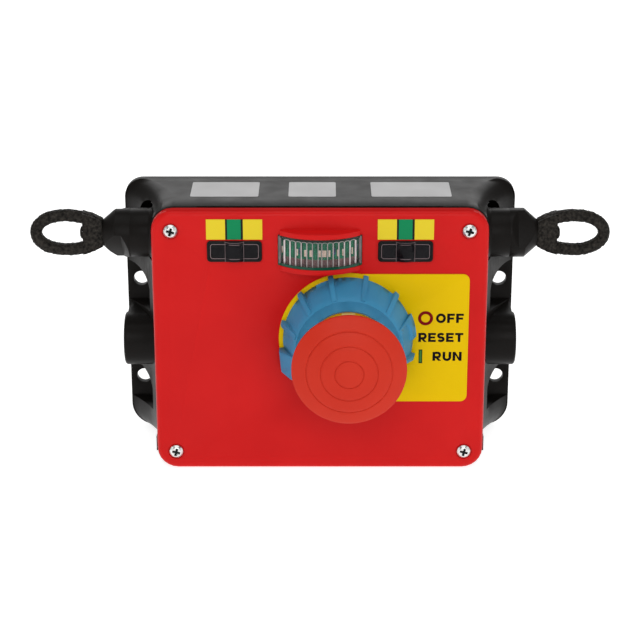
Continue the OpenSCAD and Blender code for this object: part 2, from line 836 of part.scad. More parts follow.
module beacon_leds() {
    pitch = (beacon_w - 2 * beacon_wall - 4) / (led_count - 1);
    color("#e8e0c8") for (i = [0:led_count - 1])
        translate([(i - (led_count - 1) / 2) * pitch, beacon_back_y - led_size / 2, beacon_z])
            cube(led_size, center = true);
}

// ---------- Pull heads ----------

module shaft_bush(side) {
    color("#a98a4a") on_side(side) about_shaft()
        ring(head_bore_d / 2 - seat, shaft_d / 2 + fit, bush_start, bush_start + bush_len);
}

module wiper_seal(side) {
    color("#202020") on_side(side) about_shaft()
        ring(wiper_d / 2 - seat, shaft_d / 2 + fit, wiper_start, wiper_start + wiper_len);
}

module nose_flats() {
    half = head_d;
    for (turn = [0, 180]) rotate([turn, 0, 0])
        rotate([90, 0, 0]) linear_extrude(2 * half, center = true)
            polygon([[nose_ramp_start, head_d / 2], [nose_ramp_start + nose_ramp, nose_flat],
                [nose_reach + cut, nose_flat], [nose_reach + cut, head_d], [nose_ramp_start, head_d]]);
}

module pull_nose(side) {
    color("#2b2a29") on_side(side) difference() {
        about_shaft() difference() {
            polygon([[0, nose_start], [head_d / 2, nose_start], [head_d / 2, cone_start],
                [nose_tip_d / 2, nose_reach], [0, nose_reach]]);
            translate([-cut, nose_start - cut]) square([shaft_d / 2 + gap + cut, nose_reach]);
            translate([-cut, nose_start - cut])
                square([wiper_d / 2 + cut, wiper_start + wiper_len - nose_start + cut]);
        }
        translate([0, head_y, head_z])
            rotate([90 + side * nose_turn[side < 0 ? 0 : 1], 0, 0]) nose_flats();
    }
}

module pull_shaft(side) {
    color("#b8b8b8") on_side(side) about_shaft() {
        translate([0, shaft_in]) square([shaft_d / 2, shoulder_x - shaft_in]);
        translate([0, shoulder_x - cut]) square([pin_d / 2, pin_end_x - shoulder_x + 2 * cut]);
        polygon([[0, pin_end_x], [pin_head_d / 2, pin_end_x],
            [pin_head_d / 2, pin_end_x + pin_head_h / 2],
            [pin_d / 2 - 0.6, pin_end_x + pin_head_h], [0, pin_end_x + pin_head_h]]);
    }
}

module shaft_nut(side) {
    across_flats = shaft_d + 7;
    color("#b8b8b8") on_side(side) translate([0, head_y, head_z]) difference() {
        translate([nut_x, 0, 0]) rotate([0, 90, 0])
            cylinder(h = nut_h, r = across_flats / sqrt(3), $fn = 6);
        rotate([0, 90, 0]) cylinder(h = body_x, r = shaft_d / 2 + seat);
    }
}

module tension_pointer(side) {
    flag_w = 5;
    color("#d8c020") on_side(side) difference() {
        union() {
            about_shaft() translate([0, pointer_x]) square([shaft_d, pointer_t]);
            translate([pointer_x, cover_y + cover_t + 2.2, head_z - flag_w / 2])
                cube([pointer_t, cover_front - cover_t - 2.2 - head_depth, flag_w]);
        }
        about_shaft() square([shaft_d / 2 + seat, body_x]);
    }
}

module spring_cup(side) {
    color("#8a8f94") on_side(side) about_shaft() polygon([
        [shaft_d / 2 + seat, cup_x], [cup_back_r, cup_x], [cup_back_r, cup_open_x],
        [cup_mouth_r, cup_open_x + cup_skirt], [cup_bore_r, cup_open_x + cup_skirt],
        [cup_bore_r, cup_open_x], [shaft_d / 2 + seat, cup_open_x]]);
}

module tension_spring(side) {
    color("#5c6166") on_side(side) translate([cup_open_x, head_y, head_z]) rotate([0, 90, 0])
        coil(spring_r, spring_wire, inner_x - cup_open_x, spring_turns, 12, 6);
}

// Closed sweep of the eye's bar round its egg-shaped centre line
module eye_ring() {
    a = eye_a - eye_bar / 2;
    b = eye_h / 2 - eye_bar / 2;
    points = [for (i = [0:eye_steps - 1], k = [0:bar_steps - 1])
        let (t = 360 * i / eye_steps, s = 360 * k / bar_steps,
             nx = b * (cos(t) + eye_egg * cos(2 * t)), nz = a * sin(t), n = norm([nx, nz]),
             out = eye_bar / 2 * sign(cos(s)) * pow(abs(cos(s)), 0.8),
             across = eye_bar / 2 * sign(sin(s)) * pow(abs(sin(s)), 0.8))
        [eye_mid + a * cos(t) + out * nx / n, head_y + across,
            head_z + b * sin(t) * (1 + eye_egg * cos(t)) + out * nz / n]];
    faces = [for (i = [0:eye_steps - 1], k = [0:bar_steps - 1])
        let (m = (k + 1) % bar_steps, j = (i + 1) % eye_steps)
        [i * bar_steps + k, j * bar_steps + k, j * bar_steps + m, i * bar_steps + m]];
    polyhedron(points, faces, convexity = 6);
}

module eye_swivel_block() {
    intersection() {
        toward_front(head_y + eye_block_t / 2, eye_block_t) polygon([for (i = [0:eye_steps - 1])
            let (t = 360 * i / eye_steps)
            [eye_mid + (eye_a - 0.4) * cos(t),
                head_z + (eye_h / 2 - 0.4) * sin(t) * (1 + eye_egg * cos(t))]]);
        translate([eye_x, head_y - eye_h, head_z - eye_h]) cube([eye_block, 2 * eye_h, 2 * eye_h]);
    }
}

module rope_eye(side) {
    color("#1a1a1a") on_side(side) difference() {
        union() {
            intersection() {
                eye_ring();
                translate([eye_x, head_y - eye_h, head_z - eye_h]) cube([eye_len, 2 * eye_h, 2 * eye_h]);
            }
            eye_swivel_block();
        }
        about_shaft() square([pin_d / 2 + fit, pin_end_x]);
    }
}

// ---------- Cam followers and trip switches ----------

module cam_follower(side) {
    color("#d0d0c8") on_side(side) translate([follower_x, head_y, follower_tip_z - follower_len])
        cylinder(h = follower_len, d = follower_d);
}

module trip_switch(side) {
    color("#3a3f45") on_side(side) difference() {
        translate([follower_x - switch_w / 2, head_y - follower_d, switch_top - switch_h])
            cube([switch_w, plate_front_y - head_y + follower_d, switch_h]);
        translate([follower_x, head_y, switch_top - switch_h + 4])
            cylinder(h = switch_h, d = follower_d + 2 * gap);
    }
}

// ---------- Inner frame ----------

module plate_outline(x, bottom, top, r) {
    translate([0, (top + bottom) / 2]) rounded_rect(2 * x, top - bottom, r);
}

module mechanism_plate() {
    color("#9aa0a5") toward_front(-plate_depth, plate_t) difference() {
        plate_outline(mech_plate_x, mech_plate_bottom, mech_plate_top, 5);
        for (x = [-1, 1], z = [mech_plate_bottom + mech_screw_inset, mech_plate_top - mech_screw_inset])
            translate([x * (mech_plate_x - mech_screw_inset), z]) circle(mech_screw_d / 2 + gap);
        translate([earth_x, earth_z]) circle(standoff_d / 2 + 2);
    }
}

module mechanism_screws() {
    color("#c9c9c6")
        for (x = [-1, 1], z = [mech_plate_bottom + mech_screw_inset, mech_plate_top - mech_screw_inset])
            translate([x * (mech_plate_x - mech_screw_inset), plate_front_y, z]) rotate([90, 0, 0])
                cross_recess_screw(2 * mech_screw_d, 2.4, mech_screw_d, 7);
}

module bridge_post_places() {
    for (x = [-1, 1], z = [-1, 1]) translate([knob_x + x * post_dx, knob_z + z * post_dz]) children();
}

module bridge_posts() {
    color("#b8b8b8") toward_front(plate_front_y, bridge_depth + plate_front_y)
        bridge_post_places() circle(post_d / 2);
}

module bridge_plate() {
    color("#9aa0a5") toward_front(-bridge_depth, plate_t) difference() {
        translate([knob_x, knob_z]) rounded_rect(bridge_w, bridge_h, 4);
        translate([knob_x, knob_z]) circle(stem_d / 2 + gap);
    }
}

module latch_guide_pins() {
    color("#b8b8b8") for (z = [guide_up, -guide_down])
        translate([bar_x, bridge_y, knob_z + z]) rotate([90, 0, 0]) {
            cylinder(h = bridge_y - latch_y + gap, d = guide_d);
            cylinder(h = bridge_y - latch_y - latch_t - gap, d = guide_d + 3);
        }
}

module latch_bar() {
    slot_w = crank_r * (1 - cos(knob_turn / 2)) + crank_pin_d + 2 * gap;
    color("#c0c4c8") toward_front(latch_y + latch_t, latch_t) difference() {
        union() {
            translate([bar_x - bar_w / 2, crosshead_z]) square([bar_w, bar_top - crosshead_z]);
            translate([first_block_x - block_w / 2, crosshead_z]) square([crosshead_w, crosshead_h]);
        }
        translate([bar_x + crank_pin_d / 2 + gap - slot_w, knob_z + latch_rest - crank_pin_d / 2 - slot_play])
            square([slot_w, crank_pin_d + 2 * slot_play]);
        for (z = [guide_up, -guide_down]) translate([bar_x, knob_z + z]) {
            translate([-guide_d / 2 - gap, 0]) square([guide_d + 2 * gap, latch_travel]);
            for (end = [0, latch_travel]) translate([0, end]) circle(guide_d / 2 + gap);
        }
    }
}

module contact_plungers() {
    color("#d8d8d0") for (i = [0:block_count - 1])
        translate([first_block_x + i * block_pitch, latch_y + latch_t / 2, block_top - plunger_reach])
            cylinder(h = crosshead_z - block_top + plunger_reach, d = plunger_d);
}

module contact_block(i) {
    back_y = plate_front_y;
    color("#4a4f55") difference() {
        translate([first_block_x + i * block_pitch - block_w / 2, latch_y - block_overhang,
            block_top - block_h])
            cube([block_w, back_y - latch_y + block_overhang, block_h]);
        translate([first_block_x + i * block_pitch, latch_y + latch_t / 2,
            block_top - latch_travel - plunger_reach - 2])
            cylinder(h = block_h, d = plunger_d + 2 * gap);
    }
}

// ---------- Terminals ----------

module terminal_strip() {
    way = strip_w / strip_ways;
    color("#d6d2c4") difference() {
        translate([strip_x, plate_front_y - strip_d, strip_z]) cube([strip_w, strip_d, strip_h]);
        for (i = [0:strip_ways - 1]) translate([strip_x + way * (i + 0.5), plate_front_y - strip_d, strip_z]) {
            translate([0, 0, strip_h / 2]) rotate([90, 0, 0]) cylinder(h = 2 * 4, d = 5.4, center = true);
            translate([0, strip_d / 2, 0]) cylinder(h = 6, d = 3.6, center = true);
        }
    }
}

module terminal_screws() {
    way = strip_w / strip_ways;
    color("#b0a060") for (i = [0:strip_ways - 1])
        translate([strip_x + way * (i + 0.5), plate_front_y - strip_d + 4, strip_z + strip_h / 2])
            rotate([90, 0, 0]) cross_recess_screw(5, 2, 3, 0);
}

module earth_screw() {
    color("#b09040") translate([earth_x, floor_y - 6, earth_z]) rotate([90, 0, 0])
        cross_recess_screw(8, 3, mech_screw_d, 5);
}

// ---------- Reset knob ----------

module knob_rib(a) {
    base_r = knob_base_d / 2;
    rim_r = knob_rim_d / 2;
    rotate(a) rotate([90, 0, 0]) linear_extrude(rib_w, center = true) polygon([
        [rim_r - knob_shell, -knob_back_y], [base_r + rib_h, -knob_back_y],
        [base_r + rib_h - 0.4, 4 - knob_back_y],
        [rim_r + 0.3, knob_front - 0.6], [rim_r - knob_shell, knob_front - 0.6]]);
}

// Outline of a tab, drawn on the knob's face, raised as one cone with its foot at foot_r
module knob_tab(foot_r) {
    difference() {
        intersection() {
            translate([0, 0, -knob_back_y])
                cylinder(h = knob_front + knob_back_y - 0.6, r1 = foot_r, r2 = knob_rim_d / 2 + 0.3);
            linear_extrude(knob_front) children();
        }
        cylinder(h = knob_front, r = hub_r);
    }
}

// Thumb tab that points at the legend: a ridge on its upper side, a scoop below it
module knob_pointer() {
    r = knob_base_d;
    scoop_turn = pointer_turn - 4;
    difference() {
        knob_tab(knob_base_d / 2 + rib_h - 0.3) rotate(pointer_turn - pointer_span / 2)
            polygon([[hub_r - 3, 0], [r, 0], [r * cos(pointer_span), r * sin(pointer_span)],
                [(hub_r - 3) * cos(pointer_span), (hub_r - 3) * sin(pointer_span)]]);
        rotate(scoop_turn) translate([knob_base_d / 2 + 1, 0, 13 - knob_back_y]) sphere(r = 8.5);
    }
}

// Wider lug on the other side, flat outside, for the second finger
module knob_lug() {
    knob_tab(norm([grip_out, grip_end]) + 0.4) rotate(grip_turn)
        polygon([[hub_r - 3, grip_start - 1.5], [grip_out, grip_start], [grip_out, grip_end],
            [grip_out - 4.7, grip_end + 3], [hub_r - 6, grip_end + 3]]);
}

module reset_knob() {
    base_r = knob_base_d / 2;
    rim_r = knob_rim_d / 2;
    edge = 1;
    color("#3a7fae") difference() {
        union() {
            about_knob() polygon([[hub_r - cut, -knob_back_y], [base_r, -knob_back_y],
                [rim_r, knob_front - edge], [rim_r - edge, knob_front],
                [knob_bore_r + edge, knob_front], [knob_bore_r, knob_front - edge],
                [knob_bore_r, -hub_end_y], [hub_r, -hub_end_y], [hub_r, -knob_back_y]]);
            translate([knob_x, 0, knob_z]) rotate([90, 0, 0]) {
                for (i = [0:rib_count - 2]) knob_rib(rib_offset + 360 / rib_count * i);
                knob_pointer();
                knob_lug();
            }
        }
        about_knob() polygon([[hub_r, -knob_back_y - cut], [base_r - knob_shell, -knob_back_y - cut],
            [rim_r - knob_shell, knob_front - knob_shell - 1], [hub_r, knob_front - knob_shell - 1]]);
    }
}

module knob_retainer() {
    color("#c0c4c8") about_knob()
        ring(hub_r + retainer_w, hub_r + seat, cover_front - cover_t - retainer_t - gap,
            cover_front - cover_t - gap);
}

module reset_cam() {
    color("#c0c4c8") {
        about_knob() ring(hub_r, cam_bore_r, -hub_end_y - cam_t, -hub_end_y);
        translate([knob_x, 0, knob_z]) rotate([90, 0, 0]) rotate(knob_turn / 2)
            translate([crank_r, 0, -latch_y - latch_t - gap])
                cylinder(h = -hub_end_y - cam_t / 2 + latch_y + latch_t + gap, d = crank_pin_d);
    }
}

// ---------- Emergency stop ----------

module mushroom_rim_profile() {
    r = mushroom_d / 2;
    translate([0, mushroom_rim - mushroom_rim_h]) square([r - mushroom_edge_r, mushroom_rim_h + 10]);
    translate([0, mushroom_rim - mushroom_rim_h + mushroom_edge_r])
        square([r, mushroom_rim_h + 10]);
    translate([r - mushroom_edge_r, mushroom_rim - mushroom_rim_h + mushroom_edge_r])
        circle(mushroom_edge_r);
}

module stop_mushroom() {
    dome_height = mushroom_dome_r - sqrt(pow(mushroom_dome_r, 2) - pow(mushroom_d / 2, 2));
    color("#cf3a2c") difference() {
        union() {
            intersection() {
                about_knob() mushroom_rim_profile();
                translate([knob_x, mushroom_dome_r - mushroom_rim - dome_height, knob_z])
                    sphere(r = mushroom_dome_r, $fn = 128);
            }
            about_knob() translate([0, mushroom_rim - mushroom_rim_h]) polygon([
                [0, cut], [mushroom_d / 2 - 2 * mushroom_edge_r, cut],
                [mushroom_d / 2 - 2 * mushroom_edge_r, 0], [mushroom_boss_d / 2, -mushroom_taper],
                [mushroom_boss_d / 2, -mushroom_boss_len], [0, -mushroom_boss_len]]);
        }
        about_knob() square([stem_d / 2 + seat, mushroom_rim]);
        for (i = [1:3]) about_knob()
            let (r = groove_step * i)
            translate([r, mushroom_rim + dome_height - mushroom_dome_r
                + sqrt(pow(mushroom_dome_r, 2) - r * r)]) circle(groove_r, $fn = 24);
        about_knob() translate([stop_spring_r, mushroom_rim - mushroom_rim_h - mushroom_boss_len])
            square([2 * stop_spring_wire + 1, 12], center = true);
    }
}

module stop_stem() {
    color("#c0c4c8") about_knob() difference() {
        translate([0, -stem_back_y]) square([stem_d / 2, mushroom_rim + stem_back_y]);
        translate([stem_d / 2 - 0.6, bridge_depth - gap - clip_t]) square([cut, clip_t]);
    }
}

module stop_circlip() {
    color("#303438") about_knob() ring(clip_d / 2, stem_d / 2 - 0.6 + seat,
        bridge_depth - gap - clip_t + seat, bridge_depth - gap - seat);
}

module stop_collar() {
    color("#e8b800") about_knob() difference() {
        union() {
            translate([0, collar_front - collar_len]) square([collar_d / 2, collar_len]);
            translate([0, -bridge_y]) square([collar_neck_d / 2, collar_front + bridge_y]);
        }
        translate([-cut, 0]) square([stem_d / 2 + fit + cut, knob_front]);
        translate([0, collar_front - collar_well_depth]) square([collar_well_d / 2, knob_front]);
    }
}

module stop_spring() {
    start = collar_front - collar_well_depth;
    end = mushroom_rim - mushroom_rim_h - mushroom_boss_len + 6;
    color("#5c6166") translate([knob_x, -start, knob_z]) rotate([90, 0, 0])
        coil(stop_spring_r, stop_spring_wire, end - start, 6, 12, 6);
}

module stop_switch() {
    color("#3a3f45") difference() {
        toward_front(plate_front_y, plate_front_y - stop_switch_front_y)
            translate([knob_x, knob_z]) rounded_rect(stop_switch_w, stop_switch_w, 1.5);
        about_knob() translate([0, -stem_back_y - stop_travel - 1]) square([stem_d / 2 + gap, knob_front]);
    }
}

// ---------- Nodes ----------

housing();
cover_gasket();
front_cover();
cover_screws();
legend_plate();
tension_label(-1);  // tension_label_left
tension_label(1);  // tension_label_right
window_bezel(-1);  // window_bezel_left
window_bezel(1);  // window_bezel_right
window_lens(-1);  // window_lens_left
window_lens(1);  // window_lens_right
beacon_lens();
beacon_board();
beacon_leds();
shaft_bush(-1);  // shaft_bush_left
shaft_bush(1);  // shaft_bush_right
wiper_seal(-1);  // wiper_seal_left
wiper_seal(1);  // wiper_seal_right
pull_nose(-1);  // pull_nose_left
pull_nose(1);  // pull_nose_right
mechanism_plate();
mechanism_screws();
bridge_plate();
bridge_posts();
latch_guide_pins();
trip_switch(-1);  // trip_switch_left
trip_switch(1);  // trip_switch_right
contact_block(0);  // contact_block_1
contact_block(1);  // contact_block_2
contact_block(2);  // contact_block_3
contact_block(3);  // contact_block_4
stop_switch();
stop_collar();
terminal_strip();
terminal_screws();
earth_screw();
reset_knob();
knob_retainer();
reset_cam();
latch_bar();
contact_plungers();
stop_mushroom();
stop_stem();
stop_circlip();
stop_spring();
pull_shaft(-1);  // pull_shaft_left
pull_shaft(1);  // pull_shaft_right
spring_cup(-1);  // spring_cup_left
spring_cup(1);  // spring_cup_right
tension_pointer(-1);  // tension_pointer_left
tension_pointer(1);  // tension_pointer_right
shaft_nut(-1);  // shaft_nut_left
shaft_nut(1);  // shaft_nut_right
tension_spring(-1);  // tension_spring_left
tension_spring(1);  // tension_spring_right
cam_follower(-1);  // cam_follower_left
cam_follower(1);  // cam_follower_right
rope_eye(-1);  // rope_eye_left
rope_eye(1);  // rope_eye_right
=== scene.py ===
import json
from math import cos, hypot, pi, radians, sin, sqrt

import bmesh
import bpy
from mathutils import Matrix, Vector, noise


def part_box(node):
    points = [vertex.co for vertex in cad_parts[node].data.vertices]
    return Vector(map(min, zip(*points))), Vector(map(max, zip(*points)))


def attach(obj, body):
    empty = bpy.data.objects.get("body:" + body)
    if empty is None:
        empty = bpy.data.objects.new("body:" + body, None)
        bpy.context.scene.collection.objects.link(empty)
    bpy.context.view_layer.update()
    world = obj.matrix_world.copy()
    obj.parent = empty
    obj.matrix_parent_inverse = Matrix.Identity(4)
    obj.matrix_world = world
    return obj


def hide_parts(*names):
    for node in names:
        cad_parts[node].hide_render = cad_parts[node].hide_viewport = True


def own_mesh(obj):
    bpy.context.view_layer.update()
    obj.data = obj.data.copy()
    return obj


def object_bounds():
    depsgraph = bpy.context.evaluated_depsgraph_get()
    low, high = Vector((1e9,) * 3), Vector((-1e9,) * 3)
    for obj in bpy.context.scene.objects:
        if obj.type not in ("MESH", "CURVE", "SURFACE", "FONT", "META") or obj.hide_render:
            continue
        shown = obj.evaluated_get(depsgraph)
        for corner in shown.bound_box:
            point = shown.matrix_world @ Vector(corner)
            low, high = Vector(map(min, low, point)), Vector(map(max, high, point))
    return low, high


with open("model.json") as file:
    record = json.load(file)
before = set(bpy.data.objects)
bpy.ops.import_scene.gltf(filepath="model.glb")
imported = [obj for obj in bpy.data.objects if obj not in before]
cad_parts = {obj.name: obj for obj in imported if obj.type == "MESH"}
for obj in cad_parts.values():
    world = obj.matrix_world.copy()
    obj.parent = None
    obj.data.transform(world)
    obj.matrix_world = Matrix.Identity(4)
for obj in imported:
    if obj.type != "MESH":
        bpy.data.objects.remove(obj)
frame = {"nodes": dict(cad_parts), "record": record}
cad_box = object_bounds()
nodes = frame["nodes"]


# --- Studio -----------------------------------------------------------------
# The switch stands on a pale floor that glows a little, under wide soft lamps in
# front, overhead and at each side. One far behind lies as a sheen on the housing.
lens = bpy.data.cameras.new("camera")
lens.sensor_width = 36
lens.lens = 107.5
lens.clip_start, lens.clip_end = 0.01, 50
camera = bpy.data.objects.new("camera", lens)
camera.location = (0, -1.0410, 0.3820)
camera.rotation_euler = (radians(90 - 20.02), 0, 0)
bpy.context.scene.collection.objects.link(camera)
bpy.context.scene.camera = camera
bpy.context.scene.view_settings.view_transform = "Standard"

floor_z = cad_box[0][2] - 0.0002
sweep = bmesh.new()
bmesh.ops.create_grid(sweep, x_segments=2, y_segments=2, size=6)
bmesh.ops.translate(sweep, verts=sweep.verts, vec=(0, 0, floor_z))
floor_mesh = bpy.data.meshes.new("studio_floor")
sweep.to_mesh(floor_mesh)
sweep.free()
studio_floor = bpy.data.objects.new("studio_floor", floor_mesh)
bpy.context.scene.collection.objects.link(studio_floor)
floor_paint = bpy.data.materials.new("studio_floor")
floor_paint.use_nodes = True
paint_shader = floor_paint.node_tree.nodes["Principled BSDF"]
paint_shader.inputs["Base Color"].default_value = (0.6, 0.6, 0.6, 1)
paint_shader.inputs["Roughness"].default_value = 0.9
paint_shader.inputs["Emission Color"].default_value = (1, 1, 1, 1)
paint_shader.inputs["Emission Strength"].default_value = 0.8
floor_mesh.materials.append(floor_paint)


def softbox(name, place, aim, width, height, power):
    lamp = bpy.data.lights.new(name, "AREA")
    lamp.shape = "RECTANGLE"
    lamp.size, lamp.size_y, lamp.energy = width, height, power
    holder = bpy.data.objects.new(name, lamp)
    holder.location = place
    holder.rotation_euler = (Vector(aim) - Vector(place)).to_track_quat("-Z", "Y").to_euler()
    bpy.context.scene.collection.objects.link(holder)


softbox("overhead_softbox", (0, -0.25, 1.5), (0, -0.03, 0), 1.6, 1.2, 8)
softbox("front_softbox", (0.1, -1.9, 0.9), (0, 0, 0), 1.6, 1.1, 15)
softbox("left_softbox", (-1.5, -0.7, 0.5), (0, 0, 0), 0.9, 1.2, 3.5)
softbox("right_softbox", (1.5, -0.7, 0.5), (0, 0, 0), 0.9, 1.2, 3.5)
softbox("rear_softbox", (0, 2.1, 0.95), (0, 0, 0.06), 2.6, 1.0, 13.5)
room = bpy.data.worlds.new("room")
room.use_nodes = True
room.node_tree.nodes["Background"].inputs["Color"].default_value = (1, 1, 1, 1)
room.node_tree.nodes["Background"].inputs["Strength"].default_value = 0.28
bpy.context.scene.world = room


# --- Housing ----------------------------------------------------------------
# Die-cast aluminium box with a skirt that flares out to the wall flange, in
# black powder coat: fine orange peel, a little paler where it is handled.
def cast_copy(node):
    """A joined copy of a CAD solid, with its flat faces whole again."""
    shape = bmesh.new()
    shape.from_mesh(nodes[node].data)
    bmesh.ops.remove_doubles(shape, verts=shape.verts, dist=2e-6)
    bmesh.ops.dissolve_limit(shape, angle_limit=radians(0.6), verts=shape.verts, edges=shape.edges,
                             delimit={"NORMAL"})
    return shape


def break_edges(shape, width):
    """Rounds the edges that turn more than 38 degrees."""
    sharp = [e for e in shape.edges if len(e.link_faces) == 2 and e.calc_face_angle(0) > radians(38)]
    bmesh.ops.bevel(shape, geom=sharp, offset=width, segments=2, profile=0.5, affect="EDGES",
                    clamp_overlap=True, material=-1)


def fit_piece(name, shape, finish, body, slot, *stands_for, smooth=32):
    """Turns a shape into a piece on its body, in place of its CAD solids."""
    bmesh.ops.triangulate(shape, faces=[f for f in shape.faces if len(f.verts) > 4])
    mesh = bpy.data.meshes.new(name)
    shape.to_mesh(mesh)
    shape.free()
    mesh.shade_smooth()
    mesh.set_sharp_from_angle(angle=radians(smooth))
    mesh.materials.append(finish)
    piece = bpy.data.objects.new(name, mesh)
    bpy.context.scene.collection.objects.link(piece)
    if stands_for:
        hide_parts(*stands_for)
    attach(piece, body)
    return piece


def recast(node, ending, edge, finish, body, slot):
    """A piece in the shape of its CAD solid, with the edges broken."""
    shape = cast_copy(node)
    break_edges(shape, edge)
    fit_piece(node + ending, shape, finish, body, slot, node)


def wire_finish(name):
    """A new material with its node tree, its shader and the object's coordinates."""
    finish = bpy.data.materials.new(name)
    finish.use_nodes = True
    tree = finish.node_tree
    place = tree.nodes.new("ShaderNodeTexCoord")
    return finish, tree, tree.nodes["Principled BSDF"], place.outputs["Object"]


def speckle(tree, place, scale, detail=3.0):
    """An amount that drifts from place to place."""
    grains = tree.nodes.new("ShaderNodeTexNoise")
    grains.inputs["Scale"].default_value = scale
    grains.inputs["Detail"].default_value = detail
    grains.inputs["Roughness"].default_value = 0.55
    tree.links.new(place, grains.inputs["Vector"])
    return grains.outputs["Fac"]


def between(tree, amount, low, high, start=0.3, end=0.7):
    """A colour or a number that follows an amount."""
    if isinstance(low, tuple):
        ramp = tree.nodes.new("ShaderNodeValToRGB")
        ramp.color_ramp.elements[0].position, ramp.color_ramp.elements[1].position = start, end
        ramp.color_ramp.elements[0].color, ramp.color_ramp.elements[1].color = low + (1,), high + (1,)
        tree.links.new(amount, ramp.inputs["Fac"])
        return ramp.outputs["Color"]
    span = tree.nodes.new("ShaderNodeMapRange")
    for socket, value in zip(("From Min", "From Max", "To Min", "To Max"), (start, end, low, high)):
        span.inputs[socket].default_value = value
    tree.links.new(amount, span.inputs["Value"])
    return span.outputs["Result"]


def relief(tree, shader, height, depth):
    """Raises the surface where an amount is high."""
    bump = tree.nodes.new("ShaderNodeBump")
    bump.inputs["Distance"].default_value = depth
    bump.inputs["Strength"].default_value = 1.0
    tree.links.new(height, bump.inputs["Height"])
    tree.links.new(bump.outputs["Normal"], shader.inputs["Normal"])


def coated(name, low, high, rough, grain, depth, patch=22.0, shine=0.5):
    """Paint or plastic: tone that drifts over the piece, and a fine grain."""
    finish, tree, shader, place = wire_finish(name)
    tree.links.new(between(tree, speckle(tree, place, patch), low, high), shader.inputs["Base Color"])
    tree.links.new(between(tree, speckle(tree, place, 3.1 * patch, 5), rough[0], rough[1]),
                   shader.inputs["Roughness"])
    relief(tree, shader, speckle(tree, place, grain, 2), depth)
    shader.inputs["Specular IOR Level"].default_value = shine
    return finish


black_coat = coated("black_powder_coat", (0.0050, 0.0042, 0.0036), (0.0080, 0.0068, 0.0060), (0.30, 0.42),
                    1500, 0.00004, shine=0.08)
recast("housing", "_casting", 0.0007, black_coat, "body", "black_casting")


# --- Mechanism --------------------------------------------------------------
# Zinc plated steel plates, posts and slides carry moulded switch blocks, and brass
# screws clamp the wires. Bronze bushes guide the shafts, and rubber seals keep the
# inside of the box dry.
def bare_metal(name, low, high, rough, streak):
    """Plated or ground steel, with fine marks along one axis."""
    finish, tree, shader, place = wire_finish(name)
    stretch = tree.nodes.new("ShaderNodeMapping")
    stretch.inputs["Scale"].default_value = streak
    tree.links.new(place, stretch.inputs["Vector"])
    tree.links.new(between(tree, speckle(tree, place, 30), low, high), shader.inputs["Base Color"])
    marks = speckle(tree, stretch.outputs["Vector"], 700, 4)
    tree.links.new(between(tree, marks, rough[0], rough[1]), shader.inputs["Roughness"])
    relief(tree, shader, marks, 0.000008)
    shader.inputs["Metallic"].default_value = 1.0
    return finish


def dress(finish, *names):
    """Gives CAD nodes that stay as they are their finish."""
    for each in names:
        carried = nodes[each].data
        carried.materials.clear()
        carried.materials.append(finish)


zinc = bare_metal("zinc_plate", (0.46, 0.48, 0.51), (0.60, 0.61, 0.62), (0.30, 0.42), (1, 1, 0.1))
steel = bare_metal("ground_steel", (0.55, 0.55, 0.55), (0.66, 0.66, 0.66), (0.18, 0.30), (0.06, 1, 1))
spring_wire = bare_metal("spring_wire", (0.16, 0.17, 0.18), (0.27, 0.27, 0.28), (0.28, 0.40), (1, 1, 1))
brass = bare_metal("terminal_brass", (0.52, 0.36, 0.10), (0.66, 0.47, 0.16), (0.25, 0.38), (1, 1, 1))
bronze = bare_metal("sintered_bronze", (0.34, 0.20, 0.06), (0.48, 0.30, 0.11), (0.42, 0.6), (1, 1, 1))
block_plastic = coated("block_plastic", (0.035, 0.04, 0.05), (0.05, 0.055, 0.065), (0.4, 0.55), 1200, 0.00002)
cream_plastic = coated("cream_plastic", (0.62, 0.58, 0.46), (0.72, 0.68, 0.55), (0.38, 0.5), 1200, 0.00002)
dress(zinc, "mechanism_plate", "bridge_plate", "bridge_posts", "latch_guide_pins", "knob_retainer",
      "reset_cam", "latch_bar", "spring_cup_left", "spring_cup_right")
dress(steel, "mechanism_screws", "shaft_nut_left", "shaft_nut_right", "stop_stem")
dress(spring_wire, "stop_circlip")
dress(brass, "terminal_screws", "earth_screw")
dress(bronze, "shaft_bush_left", "shaft_bush_right")
dress(block_plastic, "trip_switch_left", "trip_switch_right", "contact_block_1", "contact_block_2",
      "contact_block_3", "contact_block_4", "stop_switch")
dress(cream_plastic, "terminal_strip", "contact_plungers", "cam_follower_left", "cam_follower_right")
pointer_paint = coated("pointer_paint", (0.62, 0.44, 0.015), (0.75, 0.55, 0.02), (0.35, 0.45), 900, 0.00001)
dress(pointer_paint, "tension_pointer_left", "tension_pointer_right")
seal_rubber = coated("seal_rubber", (0.010, 0.010, 0.010), (0.017, 0.017, 0.017), (0.6, 0.75), 800, 0.00003)
dress(seal_rubber, "cover_gasket", "wiper_seal_left", "wiper_seal_right")


# --- Springs ----------------------------------------------------------------
# A spring shortens as its joint moves, its seated end staying put. Here each
# spring is a coil of spring wire fixed whole to the body, in place of its CAD
# solid.
for joint in frame["record"]["behaviour"]["joints"]:
    for spring in joint.get("deforming_nodes", []):
        node, way = spring["node"], spring["mode"][-1]
        coil = fit_piece(node + "_coil", cast_copy(node), spring_wire, "body", "spring_steel", node,
                         smooth=60)
        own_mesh(coil)
